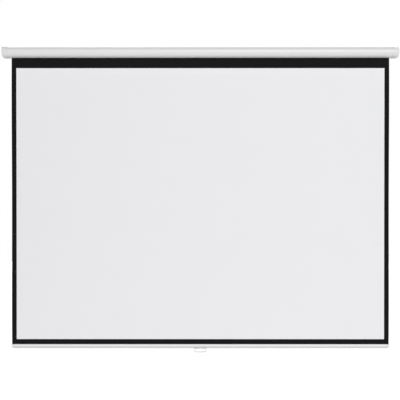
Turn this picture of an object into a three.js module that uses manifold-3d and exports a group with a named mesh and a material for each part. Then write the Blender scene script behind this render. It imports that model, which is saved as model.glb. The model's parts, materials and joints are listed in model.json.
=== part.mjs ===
// A manual pull-down projection screen: a white wall case with a spring roller inside, a matte white
// viewing surface with a black border, and a weighted slat bar with a wire pull handle.
//
// Millimetres. X runs along the case, Y points back into the wall, Z points up.
// The origin is on the back of the case, halfway along it and level with the roller's axis.
// "Depth" is the distance forward of the wall plane, so a depth d lies at y = -d.
// "Reach" is the distance from the middle of the case towards either end.

import * as THREE from 'three';
import { mergeVertices } from 'three/addons/utils/BufferGeometryUtils.js';
import loadManifold from 'manifold-3d';

// Clearances shared by every piece
const clearance = 0.3;
const runningClearance = 0.1;
const cutOverrun = 5;

// Cloth
const viewWidth = 2045;
const viewHeight = 1507;
const sideBorder = 26;
const topBorder = 56;
const bottomBorder = 27.5;
const clothThickness = 0.4;
const viewLayer = 0.2;
const laminateGap = 0.05;
const clothDepth = 10.925;
const edgeCurl = THREE.MathUtils.degToRad(55);
const curlSteps = 4;
const curlRows = 14;

// Case, an extruded shell with a slot in its floor
const caseRoom = 5.425;
const noseRoom = 6.925;
const caseWall = 1.2;
const noseHeight = 4;
const roofSetback = 16;
const floorSetback = 36;
const rearCorner = 2;
const leastCorner = 0.2;
const slotRearRoom = 4.425;
const slotFrontRoom = 5.575;
const slotLip = 3;
const noseSteps = 10;
const cornerSteps = 2;

// End caps
const capLength = 30;
const capWall = 1.5;
const capEndWall = 3;
const capRound = 7;
const capRoundSteps = 4;
const pocketLength = 15.2;
const postRadius = 3.5;
const frontPostSetback = 14;
const frontPostDrop = 14.5;
const rearPostDepth = 20;
const rearPostRise = 10.5;

// Hangers
const hangerSheet = 2;
const hangerLegWidth = 13.8;
const hangerLegDrop = 8;
const hangerSetback = 17;
const hangerInset = 4;
const earReach = 6;
const keyholeHead = 4.3;
const keyholeSlot = 2.3;
const keyholeRun = 11;
const wallKeyholeHeight = 3;
const roofKeyholeDepth = 18;
const windowMargin = 1;
const hangerScrewRearDepth = 8;
const hangerScrewSetback = 5;

// Screws: radii of the shank and head, and heights
const screwShank = 1.7;
const screwHead = 3.3;
const screwHeadHeight = 2;
const screwRecess = 1.2;
const screwRecessWidth = 0.9;
const screwRecessShare = 0.6;
const screwSides = 12;
const screwEdge = 3;
const threadClearance = 0.15;

// Roller tube and the cloth wound on it
const tubeRadius = 19;
const tubeWall = 0.8;
const tubeOverhang = 3.5;
const grooveWidth = 3.2;
const grooveDrop = 2.6;
const splineRadius = 0.8;
const splineSides = 8;
const wrapTurns = 1.75;
const wrapPitch = 0.9;
const wrapStepsPerTurn = 24;
const tailBend = 0.7;
const tubeSides = 36;

// Roller plugs
const plugLength = 30;
const plugFlange = 3;
const plugFlangeProud = 3;

// Spring lock at the left end
const spindleRadius = 4.5;
const springRodRadius = 4;
const ringGroove = 0.6;
const ringThickness = 1;
const ringRadius = 7.5;
const ringGap = 4;
const tangStandoff = 1.9;
const tangThickness = 3;
const tangWidth = 8;
const tangProjection = 2;
const ratchetShare = 0.5;
const ratchetNotch = 2.6;
const ratchetThickness = 3.2;
const pawlThickness = 2.6;
const pawlPivotInset = 2.5;
const pawlHub = 3;
const pawlNoseWidth = 1.4;
const pawlTail = 5;
const pawlRelease = 1;
const pawlPinRadius = 1.5;
const pawlPinHead = 2.5;
const pawlPinHeadHeight = 1;
const pawlLead = THREE.MathUtils.degToRad(38);
const pawlSwing = THREE.MathUtils.degToRad(12);
const notchFloor = THREE.MathUtils.degToRad(24);
const notchRamp = THREE.MathUtils.degToRad(36);

// Counterbalance spring inside the tube
const springRadius = 9;
const springWire = 0.9;
const springTurns = 24;
const springLength = 345;
const springStepsPerTurn = 10;
const springWireSides = 5;
const hubLength = 12;
const hubRadius = 11;
const springPlugLength = 20;

// Idle end at the right
const gudgeonRadius = 3;
const gudgeonPlugRadius = 4;
const gudgeonCollar = 6;
const gudgeonCollarWidth = 1.5;
const bushWall = 2.4;
const bushFlange = 8;
const bushFlangeWidth = 1.5;
const roundSides = 24;

// Bulkheads that carry the roller
const bulkheadSheet = 2;
const bulkheadStandoff = 4;

// Slat bar
const barHeight = 22.8;
const barDepth = 16;
const barFrontRound = 4;
const barRound = 2;
const barSlot = 2.4;
const kederDrop = 7;
const kederRadius = 3.4;
const kederSlit = 1;
const chamberWidth = 12.8;
const chamberHeight = 9.1;
const chamberFloor = 1.5;
const barCapLength = 14;
const barCapWall = 1.2;
const barCapPlug = 10;
const barOverhang = 1.5;
const weightRadius = 3.5;
const weightSpan = 45;
const barRoundSteps = 3;

// Pull handle
const clipSheet = 1.2;
const clipHalfLength = 28;
const clipWeb = 12;
const clipFlange = 7;
const knuckleLength = 11;
const knuckleRadius = 3.6;
const knuckleWeld = 0.6;
const hingeRise = 2;
const wireRadius = 2;
const wireSides = 8;
const wireSteps = 60;
const bailHalfWidth = 31.3;
const bailDrop = 20.3;
const bailEyeBend = 3;
const bailCornerBend = 9;
const handleScrewReach = 11;

const clothWidth = viewWidth + 2 * sideBorder;
const clothReach = clothWidth / 2;

// Radii of the roller's pieces. The wrap radii are those of the wound cloth's middle layer, innermost
// and where it leaves the roller.
const plugFlangeRadius = tubeRadius + plugFlangeProud;
const ratchetRadius = tubeRadius * ratchetShare;
const pawlPivotRadius = tubeRadius - pawlPivotInset;
const wrapInnerRadius = tubeRadius + clearance + clothThickness / 2;
const wrapOuterRadius = wrapInnerRadius + wrapTurns * wrapPitch;

// The cloth leaves the roller at its back and hangs straight down through the slot
const rollerDepth = clothDepth + wrapOuterRadius;
const slotBack = clothDepth - slotRearRoom;
const slotFront = clothDepth + slotFrontRoom;
const caseTop = wrapOuterRadius + caseRoom;
const caseBottom = -caseTop;
const caseDepth = rollerDepth + wrapOuterRadius + noseRoom;
const roofDepth = caseDepth - roofSetback;
const floorDepth = caseDepth - floorSetback;
const frontPostDepth = caseDepth - frontPostSetback;
const frontPostHeight = caseTop - frontPostDrop;
const rearPostHeight = caseBottom + rearPostRise;
const hangerTopDepth = caseDepth - hangerSetback;
const hangerScrewFrontDepth = hangerTopDepth - hangerScrewSetback;

// Heights down the cloth
const viewTop = caseBottom - topBorder;
const viewBottom = viewTop - viewHeight;
const barTop = viewBottom - bottomBorder;
const barBottom = barTop - barHeight;

// Reaches of the pieces at each end, from the cloth's edge outwards
const tubeReach = clothReach + tubeOverhang;
const flangeInner = tubeReach + clearance;
const flangeOuter = flangeInner + plugFlange;
const ratchetInner = flangeOuter + clearance;
const ratchetOuter = ratchetInner + ratchetThickness;
const ringInner = ratchetOuter + clearance;
const ringOuter = ringInner + ringThickness;
const tangReach = ringOuter + tangStandoff;
const bulkheadInner = tangReach + bulkheadStandoff;
const bulkheadOuter = bulkheadInner + bulkheadSheet;
const hangerScrewReach = bulkheadOuter + screwEdge;
const caseReach = hangerScrewReach + screwEdge;
const pocketInner = caseReach + clearance;
const pocketOuter = pocketInner + pocketLength;
const capReach = pocketOuter + capEndWall;
const capInner = capReach - capLength;
const keyholeReach = (pocketInner + pocketOuter) / 2;

const capProud = clearance + capWall;
const hangerUnderside = caseTop + capProud + clearance;
const hangerTop = hangerUnderside + hangerSheet;
const countersink = screwHead - screwShank;
const barFront = clothDepth + barDepth / 2;
const hingeDepth = barFront + clearance + clipSheet + knuckleRadius - knuckleWeld;
const hingeHeight = barBottom + hingeRise;

const wasm = await loadManifold();
wasm.setup();

const finishes = {
  whitePaint: { color: 0xe9e9eb, roughness: 0.42, metalness: 0.1 },
  greyPaint: { color: 0xcbcbcd, roughness: 0.38, metalness: 0.1 },
  whitePlastic: { color: 0xe6e6e8, roughness: 0.5, metalness: 0 },
  blackCloth: { color: 0x151517, roughness: 0.85, metalness: 0 },
  matteWhite: { color: 0xeeeef0, roughness: 0.95, metalness: 0 },
  zincSteel: { color: 0xb8bbbf, roughness: 0.35, metalness: 0.9 },
  darkSteel: { color: 0x5b5d60, roughness: 0.4, metalness: 0.9 },
  nylon: { color: 0xd9d5c8, roughness: 0.55, metalness: 0 },
};

const materials = Object.fromEntries(
  Object.entries(finishes).map(([name, finish]) => [name, new THREE.MeshStandardMaterial(finish)]),
);

function addPiece(group, name, geometry, material) {
  const mesh = new THREE.Mesh(geometry, materials[material]);
  mesh.name = name;
  group.add(mesh);
  return mesh;
}

// Solids and booleans

function toSolid(geometry) {
  const bare = geometry.clone();
  bare.deleteAttribute('normal');
  bare.deleteAttribute('uv');
  const merged = mergeVertices(bare);
  return new wasm.Manifold(
    new wasm.Mesh({
      numProp: 3,
      vertProperties: new Float32Array(merged.attributes.position.array),
      triVerts: new Uint32Array(merged.index.array),
    }),
  );
}

function toGeometry(solid) {
  const mesh = solid.getMesh();
  const geometry = new THREE.BufferGeometry();
  geometry.setAttribute('position', new THREE.BufferAttribute(mesh.vertProperties, 3));
  geometry.setIndex(new THREE.BufferAttribute(mesh.triVerts, 1));
  return geometry;
}

function join(...geometries) {
  return toGeometry(geometries.map(toSolid).reduce((whole, piece) => whole.add(piece)));
}

function cut(geometry, ...tools) {
  return toGeometry(tools.map(toSolid).reduce((whole, tool) => whole.subtract(tool), toSolid(geometry)));
}

// Outlines

function arc(centreX, centreY, radiusX, radiusY, fromDegrees, toDegrees, steps) {
  const points = [];
  for (let i = 0; i <= steps; i++) {
    const angle = THREE.MathUtils.degToRad(THREE.MathUtils.lerp(fromDegrees, toDegrees, i / steps));
    points.push(
      new THREE.Vector2(centreX + radiusX * Math.cos(angle), centreY + radiusY * Math.sin(angle)),
    );
  }
  return points;
}

function corner(centreX, centreY, radius, fromDegrees, toDegrees, steps = cornerSteps) {
  return arc(centreX, centreY, radius, radius, fromDegrees, toDegrees, steps);
}

function pair(x, y) {
  return new THREE.Vector2(x, y);
}

function circle(centreX, centreY, radius, sides = roundSides) {
  return corner(centreX, centreY, radius, 0, 360, sides).slice(1);
}

function rectangle(left, bottom, right, top) {
  return [pair(left, bottom), pair(right, bottom), pair(right, top), pair(left, top)];
}

// Geometry along X. A section's first coordinate is depth and its second is height.

const sectionFrame = new THREE.Matrix4().makeBasis(
  new THREE.Vector3(0, -1, 0),
  new THREE.Vector3(0, 0, 1),
  new THREE.Vector3(-1, 0, 0),
);

function alongX(outline, from, to, holes = []) {
  const shape = new THREE.Shape(outline);
  shape.holes = holes.map((hole) => new THREE.Path(hole));
  const geometry = new THREE.ExtrudeGeometry(shape, { depth: to - from, bevelEnabled: false });
  return geometry.applyMatrix4(sectionFrame).translate(to, 0, 0);
}

// The same between two reaches on one side, where side is -1 for left and 1 for right
function alongReach(side, outline, inner, outer, holes = []) {
  const ends = [side * inner, side * outer];
  return alongX(outline, Math.min(...ends), Math.max(...ends), holes);
}

// A turned solid about the X axis from (x, radius) pairs that start and end on the axis
function turned(profile, sides = roundSides) {
  const points = profile.map(([x, radius]) => pair(radius, x));
  const geometry = new THREE.LatheGeometry(points, sides);
  return outward(geometry.rotateZ(-Math.PI / 2));
}

function turnedAtReach(side, profile, sides = roundSides) {
  return turned(profile.map(([reach, radius]) => [side * reach, radius]), sides);
}

// Reverses the triangles of a solid that encloses a negative volume
function outward(geometry) {
  const merged = mergeVertices(stripped(geometry));
  const index = merged.index.array;
  const corners = [0, 1, 2].map(() => new THREE.Vector3());
  let volume = 0;
  for (let i = 0; i < index.length; i += 3) {
    corners.forEach((vertex, k) => vertex.fromBufferAttribute(merged.attributes.position, index[i + k]));
    volume += corners[0].dot(corners[1].clone().cross(corners[2]));
  }
  if (volume < 0) {
    for (let i = 0; i < index.length; i += 3) {
      [index[i + 1], index[i + 2]] = [index[i + 2], index[i + 1]];
    }
  }
  return merged;
}

function stripped(geometry) {
  const bare = geometry.clone();
  bare.deleteAttribute('normal');
  bare.deleteAttribute('uv');
  return bare;
}

// Triangles that close a convex ring
function fan(count) {
  return Array.from({ length: count - 2 }, (_, i) => [0, i + 1, i + 2]);
}

// Triangles that close a ring made of two facing rows of points
function ladder(count) {
  return Array.from({ length: count / 2 - 1 }, (_, i) => [
    [i, i + 1, count - 2 - i],
    [i, count - 2 - i, count - 1 - i],
  ]).flat();
}

// A closed solid through rings of equally many points, with triangles that close its two ends
function loft(rings, ends) {
  const count = rings[0].length;
  const index = [];
  for (let ring = 0; ring + 1 < rings.length; ring++) {
    for (let i = 0; i < count; i++) {
      const here = ring * count + i;
      const next = ring * count + ((i + 1) % count);
      index.push(here, next, next + count, here, next + count, here + count);
    }
  }
  const last = (rings.length - 1) * count;
  for (const [a, b, c] of ends) {
    index.push(c, b, a, last + a, last + b, last + c);
  }
  const geometry = new THREE.BufferGeometry();
  geometry.setFromPoints(rings.flat());
  geometry.setIndex(index);
  return outward(geometry);
}

function block(fromX, toX, fromDepth, toDepth, fromHeight, toHeight) {
  return alongX(rectangle(fromDepth, fromHeight, toDepth, toHeight), fromX, toX);
}

function blockAtReach(side, inner, outer, fromDepth, toDepth, fromHeight, toHeight) {
  return alongReach(side, rectangle(fromDepth, fromHeight, toDepth, toHeight), inner, outer);
}

// A round bar standing along Z
function upright(x, depth, radius, bottom, top, sides = screwSides) {
  const bar = new THREE.CylinderGeometry(radius, radius, top - bottom, sides);
  return bar.rotateX(Math.PI / 2).translate(x, -depth, (top + bottom) / 2);
}

// The case's outline, grown or shrunk all round except at the back, which is given by its depth

function rearWall(grow, back) {
  const radius = Math.max(rearCorner + grow, leastCorner);
  const top = caseTop + grow;
  const bottom = caseBottom - grow;
  return [
    ...corner(back + radius, bottom + radius, radius, 270, 180),
    ...corner(back + radius, top - radius, radius, 180, 90),
  ];
}

function frontCurve(grow) {
  const roof = caseTop + grow - noseHeight;
  const floor = noseHeight - caseBottom + grow;
  return [
    ...arc(roofDepth, noseHeight, caseDepth - roofDepth + grow, roof, 90, 0, noseSteps),
    ...arc(floorDepth, noseHeight, caseDepth - floorDepth + grow, floor, 0, -90, noseSteps).slice(1),
  ];
}

function caseOutline(grow, back) {
  return [...rearWall(grow, back), ...frontCurve(grow)];
}

function makeCaseShell() {
  const lipTop = caseBottom + slotLip;
  const floorTop = caseBottom + caseWall;
  const section = [
    pair(slotFront, caseBottom),
    ...frontCurve(0).reverse(),
    ...rearWall(0, 0).reverse(),
    pair(slotBack, caseBottom),
    pair(slotBack, lipTop),
    pair(slotBack - caseWall, lipTop),
    pair(slotBack - caseWall, floorTop),
    ...rearWall(-caseWall, caseWall),
    ...frontCurve(-caseWall),
    pair(slotFront + caseWall, floorTop),
    pair(slotFront + caseWall, lipTop),
    pair(slotFront, lipTop),
  ];
  const roofBottom = caseTop - cutOverrun;
  const roofTop = caseTop + cutOverrun;
  const holes = [-1, 1].flatMap((side) =>
    [hangerScrewRearDepth, hangerScrewFrontDepth].map((depth) =>
      upright(side * hangerScrewReach, depth, screwShank + clearance, roofBottom, roofTop),
    ),
  );
  return cut(alongX(section, -caseReach, caseReach), ...holes);
}

// End caps

function capBody(side) {
  const rings = [];
  const straight = [capInner, capReach - capRound];
  const rounded = [];
  for (let i = 1; i <= capRoundSteps; i++) {
    const angle = (i / capRoundSteps) * (Math.PI / 2);
    rounded.push({
      reach: capReach - capRound * (1 - Math.sin(angle)),
      grow: capProud - capRound * (1 - Math.cos(angle)),
    });
  }
  for (const { reach, grow } of [...straight.map((reach) => ({ reach, grow: capProud })), ...rounded]) {
    rings.push(
      caseOutline(grow, 0).map(({ x: depth, y: height }) => new THREE.Vector3(side * reach, -depth, height)),
    );
  }
  return loft(rings, fan(rings[0].length));
}

const capPosts = [
  { name: 'front', depth: frontPostDepth, height: frontPostHeight },
  { name: 'rear', depth: rearPostDepth, height: rearPostHeight },
];

function makeEndCap(side) {
  const recess = hangerSheet + clearance;
  const pocketBack = recess + capWall;
  const roofBottom = caseTop - cutOverrun;
  const roofTop = caseTop + cutOverrun;
  const windowReach = keyholeHead + windowMargin;
  const hollow = cut(
    capBody(side),
    alongReach(side, caseOutline(clearance, -cutOverrun), capInner - cutOverrun, pocketInner),
    alongReach(side, caseOutline(-capWall, pocketBack), caseReach, pocketOuter),
    blockAtReach(
      side,
      pocketInner,
      keyholeReach + hangerLegWidth / 2 + clearance,
      -cutOverrun,
      recess,
      -hangerLegDrop - clearance,
      roofTop,
    ),
    blockAtReach(
      side,
      keyholeReach - windowReach,
      keyholeReach + windowReach,
      0,
      pocketBack + cutOverrun,
      wallKeyholeHeight - windowReach,
      wallKeyholeHeight + keyholeRun + keyholeSlot + windowMargin,
    ),
    blockAtReach(
      side,
      keyholeReach - windowReach,
      keyholeReach + windowReach,
      roofKeyholeDepth - windowReach,
      roofKeyholeDepth + keyholeRun + keyholeSlot + windowMargin,
      roofBottom,
      roofTop,
    ),
  );
  const posts = capPosts.map(({ depth, height }) =>
    alongReach(
      side,
      circle(depth, height, postRadius),
      bulkheadOuter + clearance,
      capReach - capEndWall / 2,
    ),
  );
  const screwHoles = capPosts.flatMap(({ depth, height }) => [
    alongReach(
      side,
      circle(depth, height, screwShank + clearance, screwSides),
      bulkheadOuter - cutOverrun,
      capReach + cutOverrun,
    ),
    alongReach(
      side,
      circle(depth, height, screwHead + clearance, roundSides),
      capReach - screwHeadHeight,
      capReach + cutOverrun,
    ),
  ]);
  const hangerHoles = [hangerScrewRearDepth, hangerScrewFrontDepth].map((depth) =>
    upright(side * hangerScrewReach, depth, screwShank + clearance, roofBottom, roofTop),
  );
  return cut(join(hollow, ...posts), ...screwHoles, ...hangerHoles);
}

// Hangers: a leg against the wall and a leg over the cap, each with a keyhole for a mounting screw

// Its head is a round hole, and its slot runs from the head by a signed distance
function keyhole(x, head, run) {
  const end = head + run;
  return [
    circle(x, head, keyholeHead),
    circle(x, end, keyholeSlot, screwSides),
    rectangle(x - keyholeSlot, Math.min(head, end), x + keyholeSlot, Math.max(head, end)),
  ];
}

function makeHanger(side) {
  const legInner = keyholeReach - hangerLegWidth / 2;
  const legOuter = keyholeReach + hangerLegWidth / 2;
  const plate = join(
    blockAtReach(side, legInner, legOuter, 0, hangerSheet, -hangerLegDrop, hangerTop),
    blockAtReach(
      side,
      capInner + hangerInset,
      capReach + earReach,
      0,
      hangerTopDepth,
      hangerUnderside,
      hangerTop,
    ),
  );
  const wallTools = keyhole(side * keyholeReach, wallKeyholeHeight, keyholeRun).map((outline) =>
    new THREE.ExtrudeGeometry(new THREE.Shape(outline), { depth: hangerSheet * 2, bevelEnabled: false })
      .rotateX(Math.PI / 2)
      .translate(0, hangerSheet / 2, 0),
  );
  const roofTools = keyhole(side * keyholeReach, -roofKeyholeDepth, -keyholeRun).map((outline) =>
    new THREE.ExtrudeGeometry(new THREE.Shape(outline), { depth: hangerSheet * 2, bevelEnabled: false })
      .translate(0, 0, hangerUnderside - hangerSheet / 2),
  );
  const screwHoles = [hangerScrewRearDepth, hangerScrewFrontDepth].map((depth) =>
    countersunkHole(hangerSheet + cutOverrun, cutOverrun).translate(
      side * hangerScrewReach,
      -depth,
      hangerTop - clearance,
    ),
  );
  return cut(plate, ...wallTools, ...roofTools, ...screwHoles);
}

// Outlines of a screw's head from the shank outwards: a pan head on its seat, a flat head sunk below it
const panHead = [
  pair(screwShank, 0),
  pair(screwHead, 0),
  pair(screwHead, screwHeadHeight / 2),
  pair(screwHead * Math.SQRT1_2, screwHeadHeight),
  pair(0, screwHeadHeight),
];
const flatHead = [pair(screwShank, -countersink), pair(screwHead, 0), pair(0, 0)];

// A screw with a cross recess, its head's seat at z = 0 and its shank pointing down
function makeScrew(length, head) {
  const shank = [pair(0, -length), pair(screwShank / 2, -length), pair(screwShank, -length + screwShank)];
  const body = new THREE.LatheGeometry([...shank, ...head], screwSides).rotateX(Math.PI / 2);
  const recessLength = screwHead * 2 * screwRecessShare;
  const bars = [0, 1].map((turn) =>
    new THREE.BoxGeometry(recessLength, screwRecessWidth, screwRecess * 2)
      .rotateZ((turn * Math.PI) / 2)
      .translate(0, 0, head.at(-1).y),
  );
  return cut(outward(body), join(...bars));
}

// The cutter for a flat-headed screw's hole, with the head's top at z = 0
function countersunkHole(under, over) {
  const profile = [
    pair(0, -under),
    pair(screwShank + clearance, -under),
    pair(screwShank + clearance, -countersink),
    pair(screwHead + clearance, 0),
    pair(screwHead + clearance, over),
    pair(0, over),
  ];
  return outward(new THREE.LatheGeometry(profile, screwSides).rotateX(Math.PI / 2));
}

// Bulkheads: plates that close the case near its ends and carry the roller

function bulkheadPlate(side) {
  const inset = caseWall + clearance;
  const plate = alongReach(side, caseOutline(-inset, inset), bulkheadInner, bulkheadOuter);
  const belowLips = caseBottom + slotLip + 2 * clearance;
  const screwHoles = capPosts.map(({ depth, height }) =>
    alongReach(
      side,
      circle(depth, height, screwShank + threadClearance, screwSides),
      bulkheadInner - cutOverrun,
      bulkheadOuter + cutOverrun,
    ),
  );
  return cut(
    plate,
    blockAtReach(
      side,
      bulkheadInner - cutOverrun,
      bulkheadOuter + cutOverrun,
      -cutOverrun,
      caseDepth,
      caseBottom - cutOverrun,
      belowLips,
    ),
    ...screwHoles,
  );
}

function makeTangBracket() {
  const slot = blockAtReach(
    -1,
    bulkheadInner - cutOverrun,
    bulkheadOuter + cutOverrun,
    rollerDepth - tangThickness / 2 - clearance,
    rollerDepth + tangThickness / 2 + clearance,
    -tangWidth / 2 - clearance,
    tangWidth / 2 + clearance,
  );
  return cut(bulkheadPlate(-1), slot);
}

function makePinBracket() {
  const hole = alongReach(
    1,
    circle(rollerDepth, 0, gudgeonRadius + bushWall + clearance),
    bulkheadInner - cutOverrun,
    bulkheadOuter + cutOverrun,
  );
  return cut(bulkheadPlate(1), hole);
}

// Roller pieces are drawn about the roller's own axis: the section's first coordinate is forward of it

const tubeInnerRadius = tubeRadius - tubeWall;
const grooveFloor = tubeRadius - grooveDrop;

// A circle from the groove's one edge round to the other, then across the groove's floor
function groovedCircle(radius, halfWidth, floorRadius) {
  const edge = THREE.MathUtils.radToDeg(Math.asin(halfWidth / radius));
  return [
    ...corner(0, 0, radius, -90 + edge, 270 - edge, tubeSides),
    pair(-halfWidth, -floorRadius),
    pair(halfWidth, -floorRadius),
  ];
}

function makeTube() {
  const outer = groovedCircle(tubeRadius, grooveWidth / 2, grooveFloor);
  const inner = groovedCircle(tubeInnerRadius, grooveWidth / 2 + tubeWall, grooveFloor - tubeWall);
  return alongX(outer, -tubeReach, tubeReach, [inner]);
}

// The cutter that lets a plug pass the inside of the tube's groove
function keyway(side, inner, outer) {
  return blockAtReach(
    side,
    inner,
    outer,
    -grooveWidth / 2 - tubeWall - clearance,
    grooveWidth / 2 + tubeWall + clearance,
    -tubeRadius,
    -(grooveFloor - tubeWall - clearance),
  );
}

function makeRollerPlug(side, boreRadius) {
  const bodyInner = tubeReach - plugLength;
  const bodyRadius = tubeInnerRadius - clearance;
  const body = turnedAtReach(
    side,
    [
      [bodyInner, 0],
      [bodyInner, bodyRadius],
      [flangeInner, bodyRadius],
      [flangeInner, plugFlangeRadius],
      [flangeOuter, plugFlangeRadius],
      [flangeOuter, 0],
    ],
    tubeSides,
  );
  const bore = alongReach(side, circle(0, 0, boreRadius), bodyInner - cutOverrun, flangeOuter + cutOverrun);
  return cut(body, bore, keyway(side, bodyInner - cutOverrun, flangeInner));
}

function makeLockPlug() {
  const pinHoles = [1, -1].map((half) =>
    alongReach(
      -1,
      circle(0, half * pawlPivotRadius, pawlPinRadius + runningClearance, screwSides),
      tubeReach,
      flangeOuter + cutOverrun,
    ),
  );
  return cut(makeRollerPlug(-1, spindleRadius + runningClearance), ...pinHoles);
}

// The spline fills the groove's rear half, and the cloth's inner edge goes down in front of it
const splineForward = -grooveWidth / 2 + clearance + splineRadius;
const tailForward = splineForward + splineRadius + clearance + clothThickness / 2;

function makeSpline() {
  const outline = circle(splineForward, -grooveFloor - clearance - splineRadius, splineRadius, splineSides);
  return alongX(outline, -clothReach, clothReach);
}

// The middle of the cloth wound on the tube. Its angle grows from the rear of the roller over the top
// to the front, and its inner edge turns down into the groove.
function woundLine() {
  const steps = Math.round(wrapTurns * wrapStepsPerTurn);
  const middle = [];
  for (let i = 0; i < steps; i++) {
    const turn = i / wrapStepsPerTurn;
    const angle = turn * 2 * Math.PI;
    const radius = wrapOuterRadius - wrapPitch * turn;
    middle.push(pair(-radius * Math.cos(angle), radius * Math.sin(angle)));
  }
  return [
    ...middle,
    pair(tailForward + tailBend, -wrapInnerRadius),
    pair(tailForward, -wrapInnerRadius + tailBend),
    pair(tailForward, -grooveFloor - clearance),
  ];
}

// The outline of a strip of even thickness about a line of points
function strip(middle, thickness) {
  const headings = middle.slice(1).map((at, i) => at.clone().sub(middle[i]).normalize());
  const leftEdge = [];
  const rightEdge = [];
  middle.forEach((at, i) => {
    const before = headings[Math.max(i - 1, 0)];
    const after = headings[Math.min(i, headings.length - 1)];
    const mean = before.clone().add(after).normalize();
    const offset = pair(-mean.y, mean.x).setLength(thickness / 2 / mean.dot(after));
    leftEdge.push(at.clone().add(offset));
    rightEdge.push(at.clone().sub(offset));
  });
  return [...leftEdge, ...rightEdge.reverse()];
}

function makeWoundCloth() {
  return alongX(strip(woundLine(), clothThickness), -clothReach, clothReach);
}

// The least gap between points of a wound form that lie half a turn or more apart
function leastGap(middle, stepsPerTurn, thickness) {
  let least = Infinity;
  for (let i = 0; i < middle.length; i++) {
    for (let j = i + Math.ceil(stepsPerTurn / 2); j < middle.length; j++) {
      least = Math.min(least, middle[i].distanceTo(middle[j]) - thickness);
    }
  }
  return least;
}

// Spring lock. Angles turn from the rear of the roller over the top, as the roller does when it winds.

// The fixed spindle: tang, ratchet seat, plug bearing and the rod that carries the spring
const plugInner = tubeReach - plugLength;
const hubOuter = plugInner - clearance;
const hubInner = hubOuter - hubLength;
const springOuter = hubInner - clearance;
const springInner = springOuter - springLength;
const springPlugOuter = springInner - clearance;
const springPlugInner = springPlugOuter - springPlugLength;

function makeSpindle() {
  const grooveRadius = spindleRadius - ringGroove;
  const shaft = turnedAtReach(-1, [
    [springPlugInner, 0],
    [springPlugInner, springRodRadius],
    [plugInner, springRodRadius],
    [plugInner, spindleRadius],
    [ringInner - runningClearance, spindleRadius],
    [ringInner - runningClearance, grooveRadius],
    [ringOuter + runningClearance, grooveRadius],
    [ringOuter + runningClearance, spindleRadius],
    [tangReach, spindleRadius],
    [tangReach, 0],
  ]);
  const tang = blockAtReach(
    -1,
    ringOuter + tangStandoff / 2,
    bulkheadOuter + tangProjection,
    -tangThickness / 2,
    tangThickness / 2,
    -tangWidth / 2,
    tangWidth / 2,
  );
  return join(shaft, tang);
}

// Where a pawl's nose is, seen from the roller's axis, when the pawl has swung in by an angle
function noseAt(swing, acrossNose) {
  const pivot = pair(0, pawlPivotRadius);
  const released = ratchetRadius + pawlRelease;
  const nose = pair(-released * Math.sin(pawlLead), released * Math.cos(pawlLead));
  const lever = nose.clone().sub(pivot);
  const across = pair(lever.y, -lever.x).setLength(acrossNose);
  return lever.add(across).rotateAround(pair(0, 0), swing).add(pivot);
}

// In these sections the first coordinate points to the wall, so they are mirrored before extruding
function mirrored(points) {
  return points.map(({ x, y }) => pair(-x, y)).reverse();
}

function makeRatchet() {
  const leading = noseAt(pawlSwing, pawlNoseWidth / 2);
  const face = Math.atan2(leading.y, leading.x) + (2 * clearance) / ratchetRadius;
  const floorRadius = ratchetRadius - ratchetNotch;
  const outline = [];
  for (const half of [0, Math.PI]) {
    const faceAngle = THREE.MathUtils.radToDeg(face + half);
    const floorSpan = THREE.MathUtils.radToDeg(notchFloor);
    const rampSpan = THREE.MathUtils.radToDeg(notchRamp);
    outline.push(
      ...corner(0, 0, floorRadius, faceAngle - floorSpan, faceAngle, cornerSteps * 2),
      ...corner(0, 0, ratchetRadius, faceAngle, faceAngle + 180 - floorSpan - rampSpan, roundSides / 2),
    );
  }
  const bore = circle(0, 0, spindleRadius + runningClearance);
  return alongReach(-1, mirrored(outline), ratchetInner, ratchetOuter, [bore]);
}

function makeRetainingRing() {
  const gapDegrees = THREE.MathUtils.radToDeg(ringGap / 2 / ringRadius);
  const innerRadius = spindleRadius - ringGroove + runningClearance;
  const outline = [
    ...corner(0, 0, ringRadius, -90 + gapDegrees, 270 - gapDegrees, roundSides),
    ...corner(0, 0, innerRadius, 270 - gapDegrees, -90 + gapDegrees, roundSides),
  ];
  return alongReach(-1, outline, ringInner, ringOuter);
}

// A pawl about its own pivot, in the released position, for the pivot above the roller's axis
function makePawl() {
  const pivot = pair(0, pawlPivotRadius);
  const leading = noseAt(0, pawlNoseWidth / 2).sub(pivot);
  const trailing = noseAt(0, -pawlNoseWidth / 2).sub(pivot);
  const along = noseAt(0, 0).sub(pivot).normalize();
  const across = pair(along.y, -along.x).multiplyScalar(pawlHub * Math.SQRT1_2);
  const tailEnd = along.clone().multiplyScalar(-pawlTail);
  const arm = [
    leading,
    trailing,
    across.clone().negate(),
    tailEnd.clone().sub(across),
    tailEnd.clone().add(across),
    across,
  ];
  const inner = ratchetInner;
  const outer = ratchetInner + pawlThickness;
  const body = join(
    alongReach(-1, mirrored(arm), inner, outer),
    alongReach(-1, circle(0, 0, pawlHub), inner, outer),
  );
  const hole = alongReach(
    -1,
    circle(0, 0, pawlPinRadius + runningClearance, screwSides),
    inner - cutOverrun,
    outer + cutOverrun,
  );
  return cut(body, hole);
}

function makePawlPin() {
  const headInner = ratchetInner + pawlThickness + clearance;
  return turnedAtReach(
    -1,
    [
      [flangeInner, 0],
      [flangeInner, pawlPinRadius],
      [headInner, pawlPinRadius],
      [headInner, pawlPinHead],
      [headInner + pawlPinHeadHeight, pawlPinHead],
      [headInner + pawlPinHeadHeight, 0],
    ],
    screwSides,
  );
}

function makeSpringHub() {
  const hub = turnedAtReach(-1, [
    [hubInner, 0],
    [hubInner, hubRadius],
    [hubOuter, hubRadius],
    [hubOuter, 0],
  ]);
  const bore = alongReach(
    -1,
    circle(0, 0, springRodRadius + runningClearance),
    hubInner - cutOverrun,
    hubOuter + cutOverrun,
  );
  return cut(hub, bore);
}

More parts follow.
